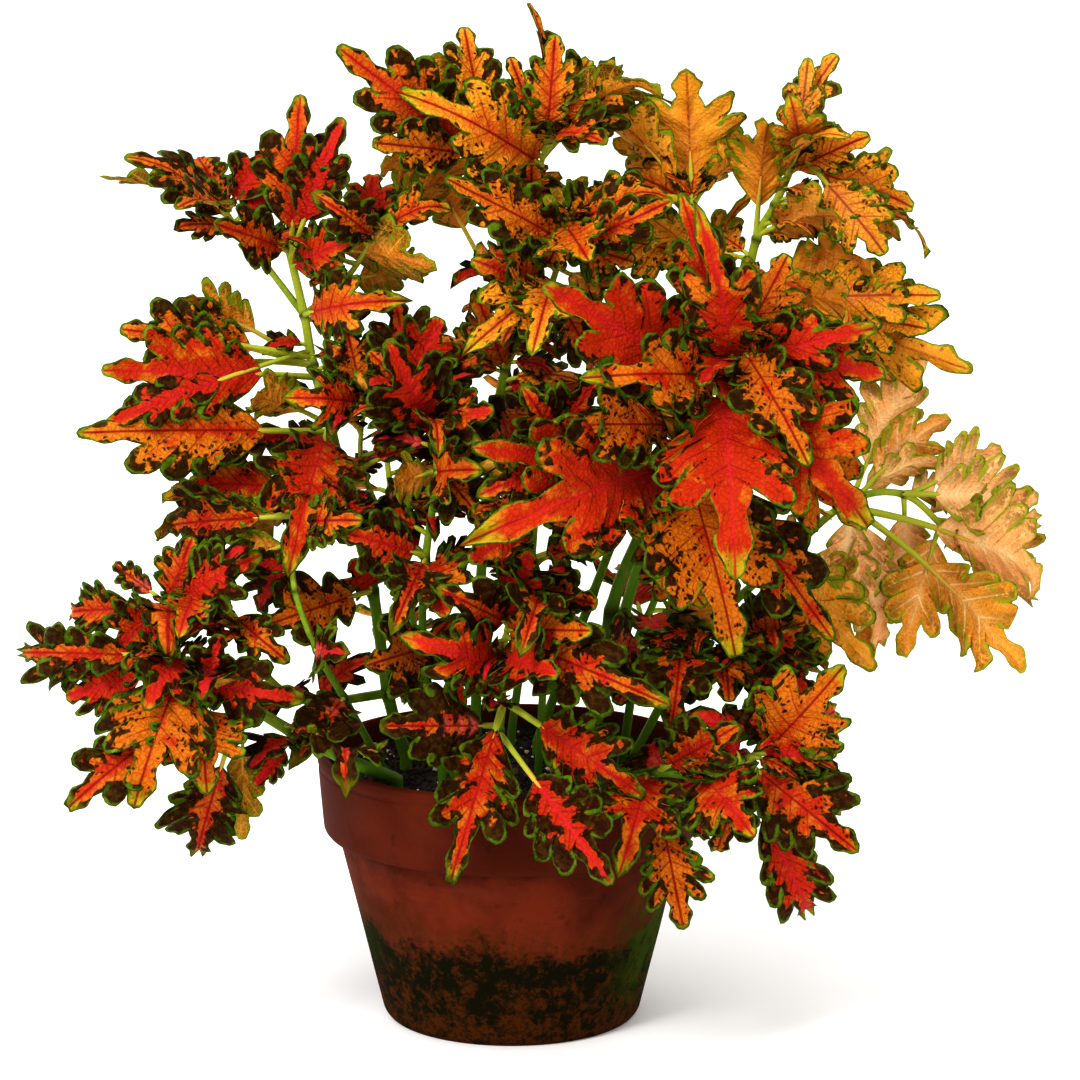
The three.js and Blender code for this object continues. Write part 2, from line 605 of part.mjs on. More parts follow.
// Whether every one of some bodies shares less than a volume with a trial leaf, which is
// then thrown away.
function misses(trial, bodies, volume = 1e-6) {
  const free = bodies.every((body) => shared(trial, body) < volume);
  trial.delete();
  return free;
}

// Whether a leaf with room around it misses the holder and every other shoot, and whether
// its blade misses its own shoot.
function isClear(leaf, tip, holder) {
  const others = shoots.filter((shoot) => shoot !== leaf.shoot).flatMap((shoot) => shoot.pieces);
  return misses(makeLeaf(leaf, tip, { room: ROOM_AROUND_LEAF }), [...holder, ...others]);
}

function isFree(leaf, tip) {
  const blade = makeLeaf(leaf, tip, { room: ROOM_AROUND_LEAF, stalk: false });
  return misses(blade, leaf.shoot.pieces, ROOT_OVERLAP);
}

// The wide leaves are set first, where they should be, and the narrow ones bend round them.
// A leaf that fits nowhere is left out.
function setLeaves(holder) {
  const byWidth = leaves.toSorted((a, b) => b.width - a.width);
  for (const leaf of byWidth) {
    const tips = BENDS.map((bend) => leaf.tip.clone().add(vector(bend)));
    const clear = tips.filter((tip) => isClear(leaf, tip, holder));
    const tip = clear.find((each) => isFree(leaf, each)) ?? clear[0];
    if (tip) leaf.shoot.pieces.push(makeLeaf(leaf, tip));
  }
}

// ---------------------------------------------------------------- the plant in its pot

const material = (color, roughness) => new THREE.MeshStandardMaterial({ color, roughness, metalness: 0 });
const clay = material(0x8a3f2a, 0.85);
const earth = material(0x1d1510, 1);
const foliage = material(0xc8431c, 0.55);

const group = new THREE.Group();
group.name = 'coleus_in_pot';

function addMesh(name, body, look) {
  const mesh = new THREE.Mesh(geometryOf(body), look.clone());
  mesh.name = name;
  group.add(mesh);
}

for (const [name, shoot] of Object.entries(SHOOTS)) plan(`shoot_${name}`, shoot);
for (const [name, { girth, foot, at }] of Object.entries(BACK_SHOOTS)) {
  plan(`shoot_${name}`, { axes: [{ girth, foot, at }] });
}

const pot = makePot();
const soil = makeSoil(shoots.map((shoot) => shoot.foot));
setLeaves([pot, soil]);

addMesh('pot', pot, clay);
addMesh('soil', soil, earth);
for (const { name, pieces } of shoots) {
  addMesh(name, pieces.reduce((a, b) => a.add(b)), foliage);
}

export default group;
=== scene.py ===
# A coleus with deeply cut leaves in a clay flowerpot, dressed in fine pieces round its solids.
# Lengths are worked out in millimetres and become metres as each mesh is made.
import json
import math
import random

import bmesh
import bpy
import numpy as np
from mathutils import Matrix, Vector, noise

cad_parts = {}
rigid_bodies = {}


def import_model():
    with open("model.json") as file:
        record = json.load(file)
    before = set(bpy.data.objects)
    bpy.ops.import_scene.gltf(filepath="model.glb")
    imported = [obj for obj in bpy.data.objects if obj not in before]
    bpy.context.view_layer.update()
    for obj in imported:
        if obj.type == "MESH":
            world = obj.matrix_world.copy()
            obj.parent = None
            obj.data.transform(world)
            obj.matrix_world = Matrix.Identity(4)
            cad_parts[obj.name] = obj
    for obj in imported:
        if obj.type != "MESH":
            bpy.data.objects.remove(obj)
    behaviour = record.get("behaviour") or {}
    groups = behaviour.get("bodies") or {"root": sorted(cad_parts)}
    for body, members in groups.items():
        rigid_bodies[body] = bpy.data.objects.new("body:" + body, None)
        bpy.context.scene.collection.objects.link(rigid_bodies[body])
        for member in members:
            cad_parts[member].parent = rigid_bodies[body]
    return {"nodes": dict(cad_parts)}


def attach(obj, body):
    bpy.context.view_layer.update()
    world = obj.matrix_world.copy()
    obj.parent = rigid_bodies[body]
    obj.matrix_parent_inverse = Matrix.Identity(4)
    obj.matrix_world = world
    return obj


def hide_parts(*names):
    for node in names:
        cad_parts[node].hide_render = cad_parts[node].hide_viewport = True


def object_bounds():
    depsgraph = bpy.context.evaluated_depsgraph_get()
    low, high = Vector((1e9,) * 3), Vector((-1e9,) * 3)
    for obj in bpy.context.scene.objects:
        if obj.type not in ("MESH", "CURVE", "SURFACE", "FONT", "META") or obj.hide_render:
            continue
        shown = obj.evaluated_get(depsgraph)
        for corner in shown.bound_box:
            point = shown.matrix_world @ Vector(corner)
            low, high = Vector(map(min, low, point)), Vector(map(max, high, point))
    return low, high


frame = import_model()
cadLow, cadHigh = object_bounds()
boxMargin = 0.05
boxLow, boxHigh = np.array(cadLow) * 1000 + boxMargin, np.array(cadHigh) * 1000 - boxMargin
print("solids loaded:", len(frame["nodes"]))


def unit(v):
    v = np.asarray(v, float)
    return v / np.linalg.norm(v)


def blend(a, b, share):
    return a + (b - a) * share


# the points of a ring round z
def circle(radius, sides, z):
    return [(radius * math.cos(turn), radius * math.sin(turn), z)
            for turn in np.arange(sides) * 2 * math.pi / sides]


def meshOf(name, points, faces, edges=()):
    mesh = bpy.data.meshes.new(name)
    mesh.from_pydata(np.asarray(points, float) * 0.001, edges, faces)
    mesh.polygons.foreach_set("use_smooth", [True] * len(mesh.polygons))
    mesh.update()
    return mesh


# keeps values on a mesh's points, for its material and its node tree
def addValues(mesh, **columns):
    for name, values in columns.items():
        values = np.asarray(values, np.float32)
        kind, label = ("FLOAT_VECTOR", "vector") if values.ndim == 2 else ("FLOAT", "value")
        mesh.attributes.new(name, kind, "POINT").data.foreach_set(label, values.ravel())


def shown(name, data):
    piece = bpy.data.objects.new(name, data)
    bpy.context.scene.collection.objects.link(piece)
    return piece


# keeps what a piece's modifier makes as its plain mesh
def settle(piece, modifier):
    ready = piece.evaluated_get(bpy.context.evaluated_depsgraph_get())
    made = bpy.data.meshes.new_from_object(ready)
    piece.modifiers.remove(modifier)
    piece.data = made
    return piece


def joinUp(piece, slot, *nodes):
    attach(piece, "root")
    if nodes:
        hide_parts(*nodes)


class Wire:
    def __init__(self, tree, socket=None):
        self.tree = tree
        self.socket = socket

    # any node: its type, its settings, and values or links of its sockets
    def make(self, kind, settings=None, values=None, output=0):
        node = self.tree.nodes.new(kind)
        for key, value in (settings or {}).items():
            setattr(node, key, value)
        for key, value in (values or {}).items():
            if isinstance(value, Wire):
                self.tree.links.new(value.socket, node.inputs[key])
            else:
                node.inputs[key].default_value = value
        return Wire(self.tree, node.outputs[output] if len(node.outputs) else None)

    def maths(self, operation, a, b=0.0):
        return self.make("ShaderNodeMath", {"operation": operation}, {0: a, 1: b})

    def __add__(self, other):
        return self.maths("ADD", self, other)

    def __sub__(self, other):
        return self.maths("SUBTRACT", self, other)

    def __rsub__(self, other):
        return self.maths("SUBTRACT", other, self)

    def __mul__(self, other):
        return self.maths("MULTIPLY", self, other)

    __radd__ = __add__
    __rmul__ = __mul__

    # 0 below low and 1 above high, smooth between
    def step(self, low, high):
        return self.make("ShaderNodeMapRange", {"interpolation_type": "SMOOTHSTEP"},
                         {"Value": self, "From Min": low, "From Max": high})

    # one colour where this is 0 and another where it is 1
    def tint(self, first, second):
        colours = [c if isinstance(c, Wire) else (*c, 1) for c in (first, second)]
        return self.make("ShaderNodeMix", {"data_type": "RGBA"},
                         {0: self, 6: colours[0], 7: colours[1]}, 2)

    def scaled(self, factors):
        return self.make("ShaderNodeVectorMath", {"operation": "MULTIPLY"}, {0: self, 1: factors})

    def part(self, axis):
        return self.make("ShaderNodeSeparateXYZ", {}, {0: self}, axis)

    def noise(self, scale, detail=2.0, rough=0.5, space="3D"):
        return self.make("ShaderNodeTexNoise", {"noise_dimensions": space},
                         {"Vector": self, "Scale": scale, "Detail": detail, "Roughness": rough})

    def cells(self, scale, feature="F1", space="3D"):
        return self.make("ShaderNodeTexVoronoi", {"feature": feature, "voronoi_dimensions": space},
                         {"Vector": self, "Scale": scale})

    # a value that the mesh keeps
    def kept(self, name, kind="FLOAT"):
        output = {"FLOAT": 2, "VECTOR": 1}[kind]
        return self.make("ShaderNodeAttribute", {"attribute_name": name}, {}, output)

    # the place on the object, in mm
    def place(self):
        return self.make("ShaderNodeTexCoord", {}, {}, 3).scaled((1000, 1000, 1000))


def newMaterial(name):
    material = bpy.data.materials.new(name)
    material.use_nodes = True
    material.node_tree.nodes.clear()
    return material, Wire(material.node_tree)


# Lays a look's colours over a first one, each where its own mask is 1.
def layered(colour, look, *layers):
    for mask, over in layers:
        colour = mask.tint(colour, look[over] if isinstance(over, str) else over)
    return colour


# The shader of a material. relief is (height in mm, strength).
def surface(wire, values, relief=None):
    if relief:
        values["Normal"] = wire.make("ShaderNodeBump", {}, {
            "Height": relief[0], "Strength": relief[1], "Distance": 0.001})
    shader = wire.make("ShaderNodeBsdfPrincipled", {}, values)
    wire.make("ShaderNodeOutputMaterial", {}, {"Surface": shader})


def newTree(name, inputs):
    tree = bpy.data.node_groups.new(name, "GeometryNodeTree")
    tree.interface.new_socket("Geometry", in_out="OUTPUT", socket_type="NodeSocketGeometry")
    for label, kind in {"Geometry": "Geometry", **inputs}.items():
        tree.interface.new_socket(label, in_out="INPUT", socket_type="NodeSocket" + kind)
    source = tree.nodes.new("NodeGroupInput")
    return tree, {label: Wire(tree, source.outputs[label]) for label in ("Geometry", *inputs)}


def endTree(tree, geometry, finish):
    whole = geometry.make("GeometryNodeRealizeInstances", {}, {0: geometry})
    whole = whole.make("GeometryNodeSetMaterial", {}, {"Geometry": whole, "Material": finish})
    whole = whole.make("GeometryNodeSetShadeSmooth", {}, {0: whole})
    tree.links.new(whole.socket, tree.nodes.new("NodeGroupOutput").inputs[0])


# Runs a tree on a mesh and keeps what it makes as a plain mesh.
def grow(name, start, tree, settings):
    piece = shown(name, start)
    modifier = piece.modifiers.new(name, "NODES")
    modifier.node_group = tree
    for item in tree.interface.items_tree:
        if item.in_out == "INPUT" and item.name in settings:
            modifier[item.identifier] = settings[item.name]
    return settle(piece, modifier)


# Clay pot
pot = {
    # (radius, height, rounding) of its corners, up the outside and down the inside
    "profile": [
        (0, 0, 0), (20, 0, 0), (43.4, 0, 0.5), (45.2, 2, 1.4), (48.3, 14.6, 0), (51.8, 29, 0),
        (56.4, 48, 0), (61, 66.2, 0.5), (64.4, 66.2, 0.5), (65.8, 67.8, 1.6), (66.25, 73, 0),
        (67.0, 81.5, 0), (67.62, 88.9, 0.4), (67.3, 89.6, 0.5), (67.45, 90.4, 0.5),
        (68, 91.6, 1.2), (67.7, 94.0, 1.4), (66.4, 94.8, 1.2), (65.2, 94.5, 0.8),
        (64.4, 92.8, 0.8), (63.6, 83, 0), (62.2, 67.2, 1.0), (56.4, 63.2, 1.5),
        (49, 35, 0), (41.6, 7, 2.0), (20, 7, 0), (0, 7, 0),
    ],
    "height": 94.8, "floor": 7, "sides": 180, "cornerSteps": 5, "creaseAngle": 50,
    "drains": 3, "drainRadius": 4.5, "drainCircle": 24.0, "drainSides": 32, "drillLength": 12,
    "dent": 0.12, "dentSize": (0.02, 0.02, 0.05), "dentFrom": 30,
}
# Patterns are (scale for each mm, detail, roughness), and bands of height are in mm.
potLook = {
    "clay": (0.074, 0.0125, 0.004), "warm": (0.150, 0.026, 0.008), "dusty": (0.120, 0.032, 0.020),
    "dark": (0.026, 0.005, 0.002), "moss": (0.009, 0.008, 0.0012), "algae": (0.040, 0.062, 0.003),
    "rust": (0.085, 0.024, 0.003), "broad": (0.03, 4, 0.6), "fine": (0.45, 5, 0.65),
    "streaks": (0.12, 4, 0.6), "smudges": (0.14, 6, 0.7), "bandFoot": (63, 67), "mossTop": 40.0,
    "mossWaves": (0.05, 5, 0.65), "mossTufts": (0.4, 4, 0.7), "mossPatches": (0.2, 6, 0.75),
    "mossGrain": (0.6, 3, 0.6), "algaeWaves": (0.06, 4, 0.65), "algaePatches": (0.12, 6, 0.75),
    "pits": (1.6, 3, 0.6), "mossRelief": (0.9, 4, 0.7), "streakShape": (0.35, 0.35, 2.2),
    "rough": 0.72, "shine": 0.08,
    "relief": 0.5,
}


def lathe(name, profile, sides):
    rings = [p for p in profile if p[0] > 0]
    points = [point for radius, z in rings for point in circle(radius, sides, z)]
    faces = []
    for ring in range(len(rings) - 1):
        for i in range(sides):
            a, b = ring * sides + i, ring * sides + (i + 1) % sides
            faces.append((a, b, b + sides, a + sides))
    for end, ring in ((0, 0), (-1, len(rings) - 1)):
        points.append((0, 0, profile[end][1]))
        for i in range(sides):
            a, b = ring * sides + i, ring * sides + (i + 1) % sides
            faces.append((len(points) - 1, b, a) if end == 0 else (len(points) - 1, a, b))
    return meshOf(name, points, faces)


# rounds the corners of a profile, each by its own radius
def rounded(corners, steps):
    line = []
    for i, (r, z, radius) in enumerate(corners):
        if not radius:
            line.append((r, z))
            continue
        here = np.array((r, z))
        before = np.array(corners[i - 1][:2]) - here
        after = np.array(corners[i + 1][:2]) - here
        reach = min(radius, 0.48 * np.linalg.norm(before), 0.48 * np.linalg.norm(after))
        a, b = here + unit(before) * reach, here + unit(after) * reach
        for k in range(steps + 1):
            t = k / steps
            line.append(tuple(a * (1 - t) ** 2 + here * 2 * t * (1 - t) + b * t * t))
    return line


# cuts the drain holes through the pot's floor
def drill(body):
    pegs = bmesh.new()
    radius = pot["drainRadius"] * 0.001
    for i in range(pot["drains"]):
        turn = 2 * math.pi * (i + 0.5) / pot["drains"]
        place = Matrix.Translation((pot["drainCircle"] * math.cos(turn) * 0.001,
                                    pot["drainCircle"] * math.sin(turn) * 0.001,
                                    pot["floor"] / 2 * 0.001))
        bmesh.ops.create_cone(pegs, cap_ends=True, segments=pot["drainSides"], radius1=radius,
                              radius2=radius, depth=pot["drillLength"] * 0.001, matrix=place)
    cutter = bpy.data.meshes.new("drains")
    pegs.to_mesh(cutter)
    pegs.free()
    holes = shown("drains", cutter)
    cut = body.modifiers.new("drains", "BOOLEAN")
    cut.operation, cut.object, cut.solver = "DIFFERENCE", holes, "EXACT"
    settle(body, cut)
    bpy.data.objects.remove(holes)


def makePot(finish):
    profile = rounded(pot["profile"], pot["cornerSteps"])
    body = shown("clay_pot", lathe("clay_pot", profile, pot["sides"]))
    drill(body)
    # hand-thrown unevenness, inwards only so that the pot keeps its size
    for vertex in body.data.vertices:
        place = vertex.co * 1000
        radius = math.hypot(place.x, place.y)
        if radius > pot["dentFrom"]:
            waves = Vector([v * size for v, size in zip(place, pot["dentSize"])])
            depth = noise.noise(waves) * pot["dent"] - pot["dent"]
            scale = 1 + depth / radius
            vertex.co.x *= scale
            vertex.co.y *= scale
    body.data.polygons.foreach_set("use_smooth", [True] * len(body.data.polygons))
    body.data.set_sharp_from_angle(angle=math.radians(pot["creaseAngle"]))
    body.data.materials.clear()
    body.data.materials.append(finish)
    joinUp(body, "terracotta", "pot")


def terracotta():
    material, wire = newMaterial("terracotta")
    place = wire.place()
    across, height = place.part("X"), place.part("Z")

    def pattern(name):
        return place.noise(*potLook[name])

    broad, fine = pattern("broad"), pattern("fine")
    streaks = place.scaled(potLook["streakShape"]).noise(*potLook["streaks"])
    # bloom of dry salts towards the sides of the band
    bloom = wire.maths("ABSOLUTE", across).step(34, 64) * height.step(64, 70)
    bloom = bloom * (broad * 1.4).step(0.3, 0.9)
    # moss up from the foot, with a rusty fringe above
    top = potLook["mossTop"]
    rise = height + (pattern("mossWaves") - 0.5) * 30 + (pattern("mossTufts") - 0.5) * 14
    fringe, moss = 1 - rise.step(top - 2, top + 8), 1 - rise.step(top - 10, top)
    patches = (pattern("mossPatches") - height * 0.005).step(0.36, 0.52) * 0.8
    # algae, most of it on the right
    drift = (pattern("algaeWaves") - 0.5) * 50
    algae = (across + drift * 0.6).step(26, 52) * (height + drift * 0.4).step(4, 22)
    algae = algae * pattern("algaePatches").step(0.34, 0.54)
    algae = algae + (drift * 0.6 - across).step(34, 54) * 0.3 * height.step(16, 30)
    growth = layered(
        patches.tint(potLook["moss"], potLook["rust"]), potLook,
        (pattern("mossGrain").step(0.48, 0.62) * 0.6, "moss"), (algae, "algae"))
    moss = moss + algae * (1 - (height + drift * 0.6).step(38, 64)) * 0.8
    colour = layered(
        broad.step(0.35, 0.65).tint(potLook["clay"], potLook["warm"]), potLook,
        (streaks.step(0.5, 0.72) * 0.3, "dusty"), (bloom * 0.6, "dusty"),
        (height.step(*potLook["bandFoot"]) * 0.6, "clay"),
        (pattern("smudges").step(0.55, 0.72) * 0.5, "dark"), (fine.step(0.6, 0.8) * 0.25, "dusty"),
        (fringe * fine.step(0.35, 0.6) * 0.8, "rust"), (wire.maths("MINIMUM", moss, 1.0), growth))
    relief = fine * 0.35 + pattern("pits") * 0.2
    relief = relief + (1 - height.step(28, 44)) * pattern("mossRelief") * 0.5
    surface(wire, {"Base Color": colour, "Specular IOR Level": potLook["shine"],
                   "Roughness": potLook["rough"] + moss * 0.2 - bloom * 0.05},
            (relief, potLook["relief"]))
    return material


makePot(terracotta())
print("pot made")

# Soil
soil = {
    "below": 8.0, "relief": 1.1, "radius": 63.0, "rings": 42, "sides": 120, "foot": (62.0, 70),
    "litterSlope": 0.6,
}
soilTop = pot["height"] - soil["below"]
soilLook = {
    "wet": (0.006, 0.004, 0.003), "dry": (0.03, 0.018, 0.011), "grain": (0.5, 0.44, 0.34),
    "paleGrain": (0.75, 0.7, 0.6), "chip": (0.13, 0.06, 0.028),
}
# Loose bits on the soil: seed and flatness of their shape, how many for each square metre, their
# smallest and largest radius in mm, seed of their places, and the two colours they are between.
litter = {
    "crumbs": (1, 0.8, 190000, 0.45, 1.25, 4, "wet", "dry"),
    "grit": (5, 0.9, 9000, 0.5, 1.3, 7, "grain", "paleGrain"),
    "bark": (9, 0.35, 9000, 0.8, 2.3, 11, "chip", "dry"),
}


def soilHeight(x, y):
    broad = math.sin(0.11 * x + 0.6) * math.cos(0.09 * y) + 0.5 * math.sin(0.19 * (x - y))
    lumps = noise.noise(Vector((x * 0.16, y * 0.16, 3))) * 0.7
    lumps += noise.noise(Vector((x * 0.45, y * 0.45, 9))) * 0.4
    return soilTop + soil["relief"] * broad / 1.5 + lumps


def makeSoil(finish):
    rings, sides = soil["rings"], soil["sides"]
    points = [(0, 0, soilHeight(0, 0))]
    for ring in range(1, rings + 1):
        points += [(x, y, soilHeight(x, y))
                   for x, y, z in circle(soil["radius"] * ring / rings, sides, 0)]
    low, last = len(points), 1 + (rings - 1) * sides
    points += [*circle(soil["foot"][0], sides, soil["foot"][1]), (0, 0, soil["foot"][1])]
    faces = [(0, 1 + i, 1 + (i + 1) % sides) for i in range(sides)]
    for start in range(1, last, sides):
        for i in range(sides):
            a, b = start + i, start + (i + 1) % sides
            faces.append((a, a + sides, b + sides, b))
    for i in range(sides):
        after = (i + 1) % sides
        faces.append((last + i, low + i, low + after, last + after))
        faces.append((low + sides, low + after, low + i))
    mesh = meshOf("potting_soil", points, faces)
    mesh.materials.append(finish)
    piece = shown("potting_soil", mesh)
    joinUp(piece, "potting_soil", "soil")
    return piece


# Loose bits lying on a surface, by their shape and size.
def litterTree(name):
    tree, wires = newTree(name, {"Bit": "Object", "Spread": "Float", "Smallest": "Float",
                                 "Largest": "Float", "Seed": "Int", "Finish": "Material"})
    ground, seed = wires["Geometry"], wires["Seed"]
    level = ground.make("GeometryNodeInputNormal").part("Z")
    top = level.make("FunctionNodeCompare", {"operation": "GREATER_THAN"},
                     {0: level, 1: soil["litterSlope"]})
    points = ground.make("GeometryNodeDistributePointsOnFaces", {}, {
        "Mesh": ground, "Selection": top, "Density": wires["Spread"], "Seed": seed})
    turn = points.make("FunctionNodeRandomValue", {"data_type": "FLOAT_VECTOR"},
                       {0: (0, 0, 0), 1: (6.28, 6.28, 6.28), "Seed": seed})
    size = points.make("FunctionNodeRandomValue", {"data_type": "FLOAT"},
                       {2: wires["Smallest"], 3: wires["Largest"], "Seed": seed}, 1)
    bit = points.make("GeometryNodeObjectInfo", {}, {"Object": wires["Bit"]}, "Geometry")
    laid = points.make("GeometryNodeInstanceOnPoints", {}, {
        "Points": points, "Instance": bit, "Rotation": turn, "Scale": size})
    endTree(tree, laid, wires["Finish"])
    return tree


# an uneven stone 1 mm in radius
def lump(name, seed, flat):
    mesh = bpy.data.meshes.new(name)
    shape = bmesh.new()
    bmesh.ops.create_icosphere(shape, subdivisions=1, radius=0.001)
    for vertex in shape.verts:
        vertex.co *= 1 + 0.45 * noise.noise(vertex.co * 1400 + Vector((seed, 0, 0)))
        vertex.co.z *= flat
    shape.to_mesh(mesh)
    shape.free()
    return shown(name, mesh)


def soilFinish():
    material, wire = newMaterial("potting_soil")
    place = wire.place()
    specks = (1 - place.cells(0.55).step(0.1, 0.16)) * place.noise(0.2).step(0.5, 0.6)
    clods = place.noise(0.35, 6, 0.7).step(0.4, 0.75)
    colour = layered(clods.tint(soilLook["wet"], soilLook["dry"]), soilLook, (specks, "chip"))
    surface(wire, {"Base Color": colour, "Roughness": 0.95}, (place.noise(0.8, 6, 0.7), 0.9))
    return material


def litterFinish(name, first, second):
    material, wire = newMaterial(name)
    place = wire.place()
    colour = place.noise(0.25, 3, 0.6).step(0.35, 0.65).tint(soilLook[first], soilLook[second])
    surface(wire, {"Base Color": colour, "Roughness": 0.9}, (place.noise(2.5, 3, 0.6), 0.4))
    return material


soilPiece = makeSoil(soilFinish())
litterNodes = litterTree("soil_litter")
for name, (shape, flat, spread, smallest, largest, seed, first, second) in litter.items():
    bit = lump(name, shape, flat)
    piece = grow("soil_" + name, soilPiece.data.copy(), litterNodes, {
        "Bit": bit, "Spread": float(spread), "Smallest": smallest, "Largest": largest,
        "Seed": seed, "Finish": litterFinish(name, first, second)})
    joinUp(piece, "potting_soil")
    bpy.data.objects.remove(bit)
print("soil made")


# Shoots: first the ways that a leaf's upper side looks.
front, raised, up = (0, -1, 0.25), (0, -0.7, 0.7), (0, 0, 1)
back, backUp = (0, 1, 0.35), (0, 0.6, 0.8)
left, right = (-1, -0.5, 0.2), (1, -0.5, 0.2)
